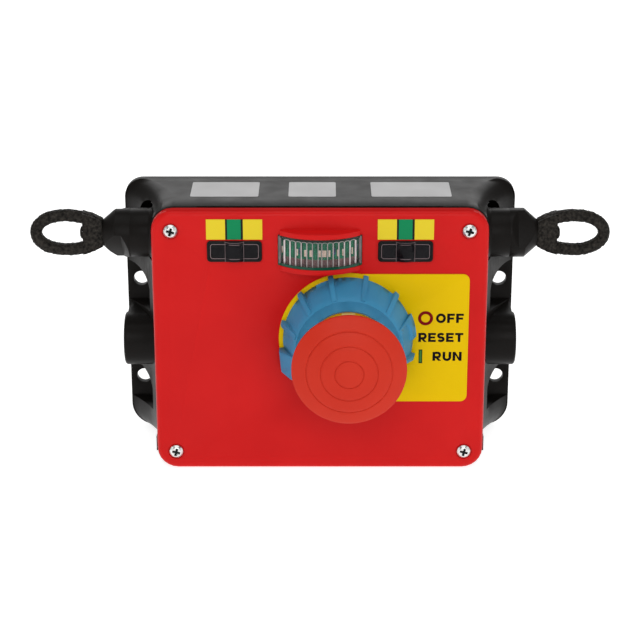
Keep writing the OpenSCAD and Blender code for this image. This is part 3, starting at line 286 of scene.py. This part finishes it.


# --- Front cover ------------------------------------------------------------
# Cast aluminium cover in glossy red powder coat, with two lips over and under
# the beacon. It drops on the seal and takes a screw in each corner. Its upward
# faces along the top get a rougher and darker copy of the coat: painted shade
# that keeps the rear lamp's sheen off that edge.
red_coat = coated("red_powder_coat", (0.505, 0.0050, 0.0050), (0.555, 0.0070, 0.0065), (0.30, 0.38), 420,
                  0.00002, shine=0.12)
shaded_top_red = coated("shaded_top_red_coat", (0.46, 0.0050, 0.0050), (0.51, 0.0070, 0.0065), (0.82, 0.9), 420,
                  0.00002, shine=0.06)
shape = cast_copy("front_cover")
break_edges(shape, 0.0004)
cover_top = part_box("front_cover")[1][2]
# Painted shade: the upward faces at the top take the darker, rougher copy.
for face in shape.faces:
    if face.normal.z > 0.85 and face.calc_center_median().z > cover_top - 0.001:
        face.material_index = 1
casting = fit_piece("front_cover_casting", shape, red_coat, "body", "red_casting", "front_cover")
casting.data.materials.append(shaded_top_red)


# --- Cover screws -----------------------------------------------------------
# Four plated pan-head screws with a cross recess. The recess is painted almost
# black next to the bright head: painted shade.
screw_plate = bare_metal("screw_plating", (0.60, 0.63, 0.62), (0.78, 0.80, 0.79), (0.2, 0.34), (1, 1, 1))
recess_shade = bare_metal("recess_shade", (0.012, 0.016, 0.016), (0.03, 0.035, 0.035), (0.5, 0.7), (1, 1, 1))
head_radius, recess_radius, recess_top, recess_floor = 0.0037, 0.0023, 0.0002, 0.00126
screws_low, screws_high = (Vector(corner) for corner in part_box("cover_screws"))
centre = (screws_low + screws_high) / 2
reach = screws_high - centre - Vector((head_radius, 0, head_radius))
shape = cast_copy("cover_screws")
# Faces down in the cross recess take the painted shade.
for face in shape.faces:
    middle = face.calc_center_median()
    off_axis = hypot(abs(middle.x - centre.x) - reach.x, abs(middle.z - centre.z) - reach.z)
    if recess_top < middle.y - screws_low.y < recess_floor and off_axis < recess_radius:
        face.material_index = 1
heads = fit_piece("cover_screw_heads", shape, screw_plate, "body", "screw_steel", "cover_screws")
heads.data.materials.append(recess_shade)


# --- Tension windows --------------------------------------------------------
# A moulded black bezel holds a clear lens with a magnifier over each tension
# pointer. The lens and a thin pane at its front are tinted almost black, painted
# shade for the dark inside of the box; pale lines round the lens edge and the
# magnifier are painted highlights. A printed scale is stuck above: green in the
# middle, yellow outside.
def smooth_skin(tree, shader, place, rough, drift, grain, depth, shine):
    """The gloss of moulded or printed plastic, with a very fine relief."""
    tree.links.new(between(tree, speckle(tree, place, drift), rough[0], rough[1]),
                   shader.inputs["Roughness"])
    relief(tree, shader, speckle(tree, place, grain, 1), depth)
    shader.inputs["Specular IOR Level"].default_value = shine


def bands_along(tree, place, way, low, high, stops, blend="LINEAR"):
    """Bands of colour along one axis, each at its share of the way."""
    split = tree.nodes.new("ShaderNodeSeparateXYZ")
    tree.links.new(place, split.inputs["Vector"])
    ramp = tree.nodes.new("ShaderNodeValToRGB")
    ramp.color_ramp.interpolation = blend
    bands = ramp.color_ramp.elements
    for band, (position, colour) in zip(bands, stops):
        band.position, band.color = position, colour
    for position, colour in stops[2:]:
        bands.new(position).color = colour
    tree.links.new(between(tree, split.outputs[way], 0.0, 1.0, low, high), ramp.inputs["Fac"])
    return ramp


def thicken(shape, flats, depth):
    """Turns flat faces into closed slabs that stand out towards the front."""
    grown = bmesh.ops.extrude_face_region(shape, geom=flats, use_keep_orig=True)["geom"]
    front = [part for part in grown if isinstance(part, bmesh.types.BMVert)]
    bmesh.ops.translate(shape, verts=front, vec=(0, -depth, 0))
    bmesh.ops.recalc_face_normals(shape, faces=shape.faces)


def bead(shape, path, width, depth, closed=False):
    """A raised line with square edges, along a path that faces the front."""
    count = len(path)
    rungs = []
    for i, point in enumerate(path):
        ahead = path[(i + 1) % count] - point if closed or i < count - 1 else point - path[i - 1]
        behind = point - path[i - 1] if closed or i else ahead
        ahead.y = behind.y = 0
        along = (ahead.normalized() + behind.normalized()).normalized()
        aside = Vector((-along.z, 0, along.x)) * width / 2 / max(0.5, along.dot(ahead.normalized()))
        rungs.append([shape.verts.new(point + aside), shape.verts.new(point - aside)])
    following = rungs[1:] + rungs[:1] if closed else rungs[1:]
    thicken(shape, [shape.faces.new(one + two[::-1]) for one, two in zip(rungs, following)], depth)


def rounded_frame(middle, width, height, radius, steps=6):
    """Points of a rounded rectangle that faces the front."""
    points = []
    for x_side, z_side, first in ((1, 1, 0), (-1, 1, 90), (-1, -1, 180), (1, -1, 270)):
        for i in range(steps + 1):
            a = radians(first + 90 * i / steps)
            points.append(middle + Vector((x_side * (width / 2 - radius) + radius * cos(a), 0,
                                           z_side * (height / 2 - radius) + radius * sin(a))))
    return points


black_plastic = coated("black_plastic", (0.003, 0.003, 0.003), (0.006, 0.006, 0.006), (0.28, 0.4), 900,
                       0.00001, shine=0.12)
# Nearly black, mostly opaque lens tint: painted shade for the dark inside of the box.
clear_window, tree, shader, place = wire_finish("clear_window")
tree.links.new(between(tree, speckle(tree, place, 60), (0.004, 0.0035, 0.0045), (0.007, 0.0065, 0.0085)),
               shader.inputs["Base Color"])
smooth_skin(tree, shader, place, (0.10, 0.16), 300, 200, 0.000004, 0.12)
shader.inputs["Alpha"].default_value = 0.82
# Pale pinkish grey for the painted highlights on the lens edge and the magnifier.
lens_highlight_line = coated("lens_highlight_line", (0.10, 0.062, 0.068), (0.17, 0.115, 0.120), (0.3, 0.4), 900, 0.00001)
yellow, black, green = (0.68, 0.53, 0.022, 1), (0.006, 0.006, 0.006, 1), (0.001, 0.208, 0.075, 1)
scale_bands = ((0.0, yellow), (0.338, black), (0.375, green), (0.614, black), (0.653, yellow))

pane_inset, pane_thick, line_inset, line_wide, line_proud = 0.00135, 0.0003, 0.0019, 0.00034, 0.00014
magnifier_half, magnifier_bulge = 0.00485, 0.0014
magnifier_r = (magnifier_half ** 2 + magnifier_bulge ** 2) / (2 * magnifier_bulge)
for side in ("left", "right"):
    recast("window_bezel_" + side, "_moulding", 0.00025, black_plastic, "body", "black_plastic")
    recast("window_lens_" + side, "_moulding", 0.0002, clear_window, "body", "clear_window")
    rim_low, rim_high = (Vector(corner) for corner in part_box("window_bezel_" + side))
    lens_low, lens_high = (Vector(corner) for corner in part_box("window_lens_" + side))
    wide, tall = rim_high.x - rim_low.x, rim_high.z - rim_low.z
    front = Vector(((rim_low.x + rim_high.x) / 2, rim_low.y + 0.0001, (rim_low.z + rim_high.z) / 2))

    # A thin pane of the same tint at the bezel front: painted shade that evens out the inside.
    shape = bmesh.new()
    outline = rounded_frame(front + Vector((0, pane_thick, 0)), wide - 2 * pane_inset, tall - 2 * pane_inset,
                            0.0014)
    thicken(shape, [shape.faces.new([shape.verts.new(point) for point in outline])], pane_thick)
    fit_piece("window_pane_" + side, shape, clear_window, "body", "clear_window")

    # Painted highlight lines round the lens edge, down the magnifier's sides and across its top and bottom.
    shape = bmesh.new()
    bead(shape, rounded_frame(front, wide - 2 * line_inset, tall - 2 * line_inset, 0.0013),
         line_wide, line_proud, closed=True)
    for edge in (-1, 1):
        edge_x = front.x + edge * (magnifier_half + 0.00012)
        bead(shape, [Vector((edge_x, front.y, z)) for z in (lens_low.z, front.z, lens_high.z)],
             0.00024, 0.00030)
    crown_axis = lens_low.y + 0.00004 + magnifier_r
    crown = [(magnifier_half * i / 6, crown_axis - sqrt(magnifier_r ** 2 - (magnifier_half * i / 6) ** 2))
             for i in range(-6, 7)]
    for z, broad in ((front.z + tall / 2 - line_inset, 0.00032), (front.z - tall / 2 + line_inset, 0.00036),
                     (front.z + tall / 2 - 0.0008, 0.00024)):
        bead(shape, [Vector((front.x + x, y, z)) for x, y in crown], broad, 0.00008)
    fit_piece("window_lens_" + side + "_edge", shape, lens_highlight_line, "body", "clear_window")

    label_low, label_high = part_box("tension_label_" + side)
    scale_print, tree, shader, place = wire_finish("tension_scale_" + side)
    bands = bands_along(tree, place, "X", label_low[0], label_high[0], scale_bands, "CONSTANT")
    tree.links.new(bands.outputs["Color"], shader.inputs["Base Color"])
    smooth_skin(tree, shader, place, (0.28, 0.4), 120, 500, 0.000004, 0.12)
    dress(scale_print, "tension_label_" + side)


# --- Beacon -----------------------------------------------------------------
# A clear moulded lens stands out between the cover's lips. Upright prisms on
# its inner face break up the view of the green lamp board and its row of LEDs;
# that view, the prisms' glints and the lit ends of the lens are painted. Its
# thick lower edge looks dark green and its upper edge grey.
beacon_low, beacon_high = (Vector(corner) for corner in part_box("beacon_lens"))
beacon_half = (beacon_high.x - beacon_low.x) / 2
beacon_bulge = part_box("tension_label_left")[1][1] - beacon_low.y
beacon_r = (beacon_half ** 2 + beacon_bulge ** 2) / (2 * beacon_bulge)


def on_lens(x, z, depth):
    """A point at a depth under the curved front of the lens."""
    return Vector((x, beacon_low.y + beacon_r - sqrt((beacon_r - depth) ** 2 - x ** 2), z))


def tinted(tree, colour, tone, share):
    """A colour multiplied by a tone that drifts over the piece."""
    mix = tree.nodes.new("ShaderNodeMix")
    mix.data_type, mix.blend_type = "RGBA", "MULTIPLY"
    mix.inputs["Factor"].default_value = share
    tree.links.new(colour, mix.inputs["A"])
    tree.links.new(tone, mix.inputs["B"])
    return mix.outputs["Result"]


clear_lens, tree, shader, place = wire_finish("clear_lens")
clear_grey = (0.12, 0.12, 0.12, 0.08)
tones = bands_along(tree, place, "Z", beacon_low.z, beacon_high.z,
                    ((0.085, (0.004, 0.070, 0.040, 0.97)), (0.105, clear_grey), (0.920, clear_grey),
                     (0.940, (0.028, 0.036, 0.030, 0.85))))
drift = between(tree, speckle(tree, place, 250), (0.5, 0.5, 0.5), (1.0, 1.0, 1.0))
tree.links.new(tinted(tree, tones.outputs["Color"], drift, 0.3), shader.inputs["Base Color"])
tree.links.new(tones.outputs["Alpha"], shader.inputs["Alpha"])
smooth_skin(tree, shader, place, (0.06, 0.14), 300, 200, 0.00001, 0.2)
recast("beacon_lens", "_moulding", 0.0003, clear_lens, "body", "clear_lens")

# A painted sheet behind the prisms pictures what they refract: the board above,
# the tan tray below and the lit LEDs in between, broken into slivers of unlike
# width. It is a painted refraction.
painted_prism_image, tree, shader, place = wire_finish("painted_prism_image")
tones = bands_along(tree, place, "Z", beacon_low.z, beacon_high.z,
                    ((0.302, (0.150, 0.092, 0.092, 1)), (0.322, (0.014, 0.150, 0.078, 1)),
                     (0.86, (0.012, 0.125, 0.066, 1)), (0.90, (0.035, 0.050, 0.038, 1))))
streak = tree.nodes.new("ShaderNodeMapping")
streak.inputs["Scale"].default_value = (1, 1, 0.25)
tree.links.new(place, streak.inputs["Vector"])
drift = between(tree, speckle(tree, streak.outputs["Vector"], 900, 3), (0.45, 0.45, 0.45), (1.7, 1.6, 1.6))
tree.links.new(tinted(tree, tones.outputs["Color"], drift, 1.0), shader.inputs["Base Color"])
smooth_skin(tree, shader, place, (0.3, 0.5), 300, 600, 0.00001, 0.15)
view_depth, view_thick, view_inset = 0.0021, 0.0003, 0.0010
view_z = (beacon_low.z + beacon_high.z) / 2
shape = bmesh.new()
bead(shape, [on_lens(0.001 * i, view_z, view_depth) + Vector((0, view_thick, 0)) for i in range(-20, 21)],
     beacon_high.z - beacon_low.z - 2 * view_inset, view_thick)
fit_piece("beacon_prism_view", shape, painted_prism_image, "body", "clear_lens", smooth=40)

# The LED and chip slivers belong to the same painted refraction.
painted_led_image = coated("painted_led_image", (0.52, 0.36, 0.28), (0.86, 0.74, 0.64), (0.3, 0.4), 900, 0.00001, patch=500,
                  shine=0.2)
painted_chip_image = coated("painted_chip_image", (0.010, 0.018, 0.045), (0.03, 0.06, 0.16), (0.3, 0.4), 900, 0.00001,
                   patch=500)
led_low, led_high, chip_rise = beacon_low.z + 0.0069, beacon_low.z + 0.0105, 0.0010
led_slivers = ((-0.0199, 0.0012), (-0.0120, 0.0010), (-0.0077, 0.0014), (-0.0049, 0.0013), (-0.0002, 0.0013),
               (0.0022, 0.0024), (0.0050, 0.0010), (0.0094, 0.0011), (0.0121, 0.0011), (0.0170, 0.0012))
chip_slivers = ((-0.0108, 0.0010), (0.0078, 0.0010), (0.0198, 0.0008))
for name, finish, slivers, rise in (("beacon_led_view", painted_led_image, led_slivers, 0.0),
                                    ("beacon_chip_view", painted_chip_image, chip_slivers, chip_rise)):
    shape = bmesh.new()
    for x, broad in slivers:
        bead(shape, [on_lens(x, z + rise, view_depth) for z in (led_low, led_high)], broad, 0.00012)
    fit_piece(name, shape, finish, "body", "clear_lens", smooth=40)

# Pale beads on the prisms' edges are painted highlights, brighter towards the lens's ends.
prism_glint, tree, shader, place = wire_finish("prism_glint")
split = tree.nodes.new("ShaderNodeSeparateXYZ")
tree.links.new(place, split.inputs["Vector"])
outward = tree.nodes.new("ShaderNodeMath")
outward.operation = "ABSOLUTE"
tree.links.new(split.outputs["X"], outward.inputs[0])
glint = between(tree, outward.outputs["Value"], (0.42, 0.39, 0.38), (0.80, 0.72, 0.72), 0.004, 0.018)
drift = between(tree, speckle(tree, place, 400), (0.5, 0.5, 0.5), (1.0, 1.0, 1.0))
tree.links.new(tinted(tree, glint, drift, 0.5), shader.inputs["Base Color"])
smooth_skin(tree, shader, place, (0.15, 0.25), 300, 600, 0.000005, 0.5)
prism_foot, prism_top, edge_top = beacon_low.z + 0.0012, beacon_high.z - 0.0019, beacon_high.z - 0.0025
first_prism, prism_pitch, half_count, edge_wide = 0.001, 0.003, 7, 0.00045
last_prism = first_prism + prism_pitch * (half_count - 1)
prism_edges = sorted(side * (first_prism + prism_pitch * i) for side in (-1, 1) for i in range(half_count))
shape = bmesh.new()
for left, right in zip(prism_edges[:-1], prism_edges[1:]):
    middle, bow = (left + right) / 2, (right - left) / 2
    turns = [pi * i / 8 for i in range(9)]
    bead(shape, [on_lens(middle - bow * cos(turn), prism_top - 0.6 * bow * (1 - sin(turn)), 0.0017)
                 for turn in turns], 0.00026, 0.0003)
for x in prism_edges:
    heights = [prism_foot + (edge_top - prism_foot) * i / 4 for i in range(5)]
    bead(shape, [on_lens(x, z, 0.0016) for z in heights], edge_wide * (1 + (x / last_prism) ** 2), 0.0004)
fit_piece("beacon_prism_highlights", shape, prism_glint, "body", "clear_lens", smooth=60)

# Grey strips at the lens's ends are painted highlights, where the lit ends of the lens show.
end_highlight_paint = coated("end_highlight_paint", (0.10, 0.085, 0.085), (0.20, 0.178, 0.178), (0.3, 0.4), 900, 0.00001, patch=200,
                  shine=0.3)
end_inset, end_wide, end_proud = 0.0010, 0.0014, 0.00006
shape = bmesh.new()
for end_x in (end_inset - beacon_half, beacon_half - end_inset):
    bead(shape, [on_lens(end_x, z, -0.00002) for z in (beacon_low.z + 0.0012, beacon_high.z - 0.0003)],
         end_wide, end_proud)
fit_piece("beacon_lens_end_highlights", shape, end_highlight_paint, "body", "clear_lens", smooth=60)
# The board's green is painted lighter than its own colour, to offset the shade under the hood and lens.
board_lit_green = coated("board_lit_green", (0.012, 0.20, 0.10), (0.03, 0.30, 0.16), (0.25, 0.4), 900, 0.00001,
                     patch=180)
dress(board_lit_green, "beacon_board")
led_cream = coated("led_cream", (0.85, 0.72, 0.60), (0.97, 0.88, 0.78), (0.3, 0.4), 900, 0.00001)
dress(led_cream, "beacon_leds")


# --- Legend plate -----------------------------------------------------------
# Thin yellow plate stuck round the knob, with the knob's three positions printed
# at its right: a red ring for off, reset, and a green bar for run.
plate_yellow = coated("plate_yellow", (0.66, 0.43, 0.001), (0.70, 0.465, 0.002), (0.26, 0.34), 300,
                      0.000006, shine=0.04)
print_black = coated("print_black", (0.003, 0.002, 0.004), (0.006, 0.004, 0.007), (0.3, 0.4), 600,
                     0.000004, shine=0.04)
print_red = coated("print_red", (0.13, 0.001, 0.003), (0.18, 0.002, 0.005), (0.3, 0.4), 600,
                   0.000004, shine=0.04)
print_green = coated("print_green", (0.030, 0.14, 0.02), (0.045, 0.18, 0.03), (0.3, 0.4), 600,
                     0.000004, shine=0.1)
recast("legend_plate", "_print", 0.00015, plate_yellow, "body", "yellow_plate")
plate_low, plate_high = (Vector(corner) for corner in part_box("legend_plate"))
print_depth = 0.00005


def block(left, low, right, high):
    return [(left, low), (right, low), (right, high), (left, high)]


def arc(x, z, wide, tall, first, last, steps=16):
    turns = [radians(first + (last - first) * i / steps) for i in range(steps + 1)]
    return [(x + wide * cos(turn), z + tall * sin(turn)) for turn in turns]


# Bold capitals one unit high: each has its width, its straight patches and the
# middle lines of its curved strokes.
stem, bar, stroke, letter_space = 0.28, 0.235, 0.26, 0.14
capitals = {
    "E": (0.82, [block(0, 0, stem, 1), block(stem, 1 - bar, 0.82, 1), block(stem, 0.39, 0.75, 0.61),
                 block(stem, 0, 0.82, bar)], []),
    "F": (0.80, [block(0, 0, stem, 1), block(stem, 1 - bar, 0.80, 1), block(stem, 0.36, 0.72, 0.58)], []),
    "N": (0.94, [block(0, 0, stem, 1), block(0.94 - stem, 0, 0.94, 1),
                 [(stem, 0.64), (0.94 - stem, 0), (0.94 - stem, 0.36), (stem, 1)]], []),
    "O": (1.02, [], [arc(0.51, 0.5, 0.385, 0.395, 0, 360)]),
    "R": (0.90, [block(0, 0, stem, 1), [(0.59, 0), (0.90, 0), (0.62, 0.30), (0.33, 0.30)]],
          [[(stem, 0.89)] + arc(0.52, 0.65, 0.235, 0.24, 90, -90) + [(stem, 0.41)]]),
    "S": (0.82, [], [arc(0.41, 0.695, 0.275, 0.195, 25, 270) + arc(0.41, 0.305, 0.275, 0.195, 90, -155)[1:]]),
    "T": (0.88, [block(0, 1 - bar, 0.88, 1), block(0.30, 0, 0.58, 1 - bar)], []),
    "U": (0.90, [block(0, 0.44, stem, 1), block(0.90 - stem, 0.44, 0.90, 1)],
          [arc(0.45, 0.44, 0.325, 0.335, 180, 360)]),
}


def on_plate(points, left, base, across, height):
    """The points of a letter, scaled and set in their place on the plate."""
    return [Vector((left + x * across, plate_low.y, base + z * height)) for x, z in points]


def printed_word(word, right, middle, height, width):
    """A word as a thin print whose right edge and middle height are given."""
    across = width / (sum(capitals[letter][0] for letter in word) + letter_space * (len(word) - 1))
    left, base = right - width, middle - height / 2
    shape = bmesh.new()
    for letter in word:
        advance, patches, strokes = capitals[letter]
        for points in patches:
            corners = [shape.verts.new(point) for point in on_plate(points, left, base, across, height)]
            thicken(shape, [shape.faces.new(corners)], print_depth)
        for points in strokes:
            line = on_plate(points, left, base, across, height)
            ring = (line[0] - line[-1]).length < 1e-6
            bead(shape, line[:-1] if ring else line, stroke * height, print_depth, closed=ring)
        left += (advance + letter_space) * across
    fit_piece("print_" + word.lower(), shape, print_black, "body", "yellow_plate", smooth=30)


def printed_mark(name, finish, outline, hole=()):
    """A flat mark inside its outline, and round a hole where it has one."""
    shape = bmesh.new()
    for loop in (outline, hole):
        corners = [shape.verts.new((x, plate_low.y, z)) for x, z in loop]
        for one, two in zip(corners, corners[1:] + corners[:1]):
            shape.edges.new((one, two))
    fill = bmesh.ops.bridge_loops if hole else bmesh.ops.edgeloop_fill
    fill(shape, edges=shape.edges[:])
    thicken(shape, shape.faces[:], print_depth)
    fit_piece(name, shape, finish, "body", "yellow_plate", smooth=30)


words_right, plate_middle = plate_high.x - 0.0027, (plate_low.z + plate_high.z) / 2
off_z, reset_z, run_z = plate_middle + 0.0118, plate_middle + 0.0007, plate_middle - 0.0103
printed_word("OFF", words_right, off_z, 0.0053, 0.0150)
printed_word("RESET", words_right, reset_z, 0.0052, 0.0244)
printed_word("RUN", words_right - 0.0006, run_z, 0.0052, 0.0159)
ring_x, bar_x = plate_high.x - 0.0234, plate_high.x - 0.0258
ring_outer, ring_inner = (arc(ring_x, off_z, radius, radius, 0, 360, 40)[:-1] for radius in (0.0041, 0.0024))
printed_mark("mark_off", print_red, ring_outer, ring_inner)
bar_outer, bar_inner = (block(bar_x - wide / 2, run_z - tall / 2, bar_x + wide / 2, run_z + tall / 2)
                        for wide, tall in ((0.0020, 0.0080), (0.0012, 0.0070)))
printed_mark("mark_run_edge", print_black, bar_outer, bar_inner)
printed_mark("mark_run", print_green, bar_inner)


# --- Reset knob -------------------------------------------------------------
# Blue moulded knob, hollow behind, ribbed for grip, with a thumb tab. It turns
# round the collar and is kept on by a ring inside the cover.
knob_blue = coated("knob_blue", (0.029, 0.205, 0.375), (0.044, 0.250, 0.440), (0.42, 0.55), 700,
                   0.00002, shine=0.25)
recast("reset_knob", "_moulding", 0.0004, knob_blue, "reset", "blue_knob")


# --- Stop button ------------------------------------------------------------
# Red moulded mushroom on a steel stem, which slides in a yellow moulded collar.
# A pale index mark for the knob is printed at the top of the collar's face.
mushroom_red = coated("mushroom_red", (0.475, 0.019, 0.006), (0.52, 0.025, 0.009), (0.40, 0.50), 600,
                      0.00002, shine=0.15)
# The collar's yellow is painted lighter than its own colour: painted light against the shade under the
# mushroom.
collar_lit_yellow = coated("collar_lit_yellow", (0.76, 0.46, 0.004), (0.84, 0.53, 0.008), (0.38, 0.5), 700,
                       0.00002, shine=0.2)
mark_pale = coated("mark_pale", (0.80, 0.68, 0.20), (0.90, 0.78, 0.30), (0.38, 0.5), 700,
                   0.00001, shine=0.2)
recast("stop_mushroom", "_moulding", 0.0002, mushroom_red, "stop_button", "red_plastic")
recast("stop_collar", "_moulding", 0.0004, collar_lit_yellow, "body", "yellow_plastic")
collar_low, collar_high = (Vector(corner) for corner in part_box("stop_collar"))
mark_length, mark_width, mark_drop = 0.0072, 0.0021, 0.0019
mark_x, mark_z = (collar_low.x + collar_high.x) / 2, collar_high.z - mark_drop
shape = bmesh.new()
bead(shape, [Vector((mark_x + mark_length * i / 4, collar_low.y, mark_z)) for i in range(-2, 3)],
     mark_width, 0.00012)
fit_piece("stop_collar_mark", shape, mark_pale, "body", "yellow_plastic")


# --- Pull heads and rope eyes -----------------------------------------------
# Turned noses with spanner flats close the heads; each shaft carries a rough
# cast eye that swivels on its pin. The riveted pin head is as dark as the eye.
rough_iron = coated("rough_iron", (0.0008, 0.0007, 0.0006), (0.0330, 0.0290, 0.0245), (0.35, 0.65), 900,
                    0.0006, patch=620, shine=0.08)
for side in ("left", "right"):
    recast("pull_nose_" + side, "_casting", 0.0004, black_coat, "body", "black_casting")

lump_grain, lump, fine_lump, lump_sink, longest_edge = 620, 0.00034, 0.00024, 0.00012, 0.0011
pin_clear, pin_fade, pin_head = 0.0032, 0.0015, 0.00145
for side, outward in (("left", -1), ("right", 1)):
    shape = cast_copy("rope_eye_" + side)
    bmesh.ops.triangulate(shape, faces=shape.faces)
    for _ in range(3):
        long_edges = [e for e in shape.edges if e.calc_length() > longest_edge]
        bmesh.ops.subdivide_edges(shape, edges=long_edges, cuts=1, use_grid_fill=True)
        bmesh.ops.triangulate(shape, faces=shape.faces)
    shape.normal_update()
    eye_low, eye_high = (Vector(corner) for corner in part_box("rope_eye_" + side))
    axis = (eye_low + eye_high) / 2
    moves = {}
    for v in shape.verts:
        away = sqrt((v.co.y - axis.y) ** 2 + (v.co.z - axis.z) ** 2)
        keep = min(1.0, max(0.0, (away - pin_clear) / pin_fade))
        seed = v.co * lump_grain + Vector((outward * 7.3, 1.7, 4.1))
        moves[v] = keep * (lump * noise.noise(seed) + fine_lump * noise.noise(seed * 2.1)) - lump_sink
    for v, move in moves.items():
        v.co += v.normal * move
    fit_piece("rope_eye_" + side + "_casting", shape, rough_iron, "eye_" + side, "black_iron",
              "rope_eye_" + side, smooth=70)

    shape = cast_copy("pull_shaft_" + side)
    shaft_end = max(v.co.x * outward for v in shape.verts)
    for face in shape.faces:
        if face.calc_center_median().x * outward > shaft_end - pin_head:
            face.material_index = 1
    shaft = fit_piece("pull_shaft_" + side + "_turned", shape, steel, "pull_" + side, "shaft_steel",
                      "pull_shaft_" + side, smooth=40)
    shaft.data.materials.append(rough_iron)


# --- Stickers ---------------------------------------------------------------
# Three plain stickers of thin grey film lie in a row on top of the housing, each
# with its corners rounded.
sticker_grey = coated("sticker_grey", (0.395, 0.390, 0.392), (0.435, 0.430, 0.432), (0.35, 0.45), 400,
                      0.000004, shine=0.3)
sticker_deep, sticker_thick, sticker_y, corner_radius = 0.0284, 0.00012, -0.0267, 0.0012
sticker_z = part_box("housing")[1][2] + sticker_thick / 2
for name, left, right in (("left", -0.0708, -0.0336), ("middle", -0.0172, 0.0087), ("right", 0.0281, 0.0718)):
    shape = bmesh.new()
    bmesh.ops.create_cube(shape, size=1)
    bmesh.ops.scale(shape, verts=shape.verts, vec=(right - left, sticker_deep, sticker_thick))
    bmesh.ops.translate(shape, verts=shape.verts, vec=((left + right) / 2, sticker_y, sticker_z))
    upright = [e for e in shape.edges if abs(e.verts[0].co.z - e.verts[1].co.z) > sticker_thick / 2]
    bmesh.ops.bevel(shape, geom=upright, offset=corner_radius, segments=4, profile=0.5, affect="EDGES",
                    material=-1)
    fit_piece("sticker_" + name, shape, sticker_grey, "body", "scale_label")
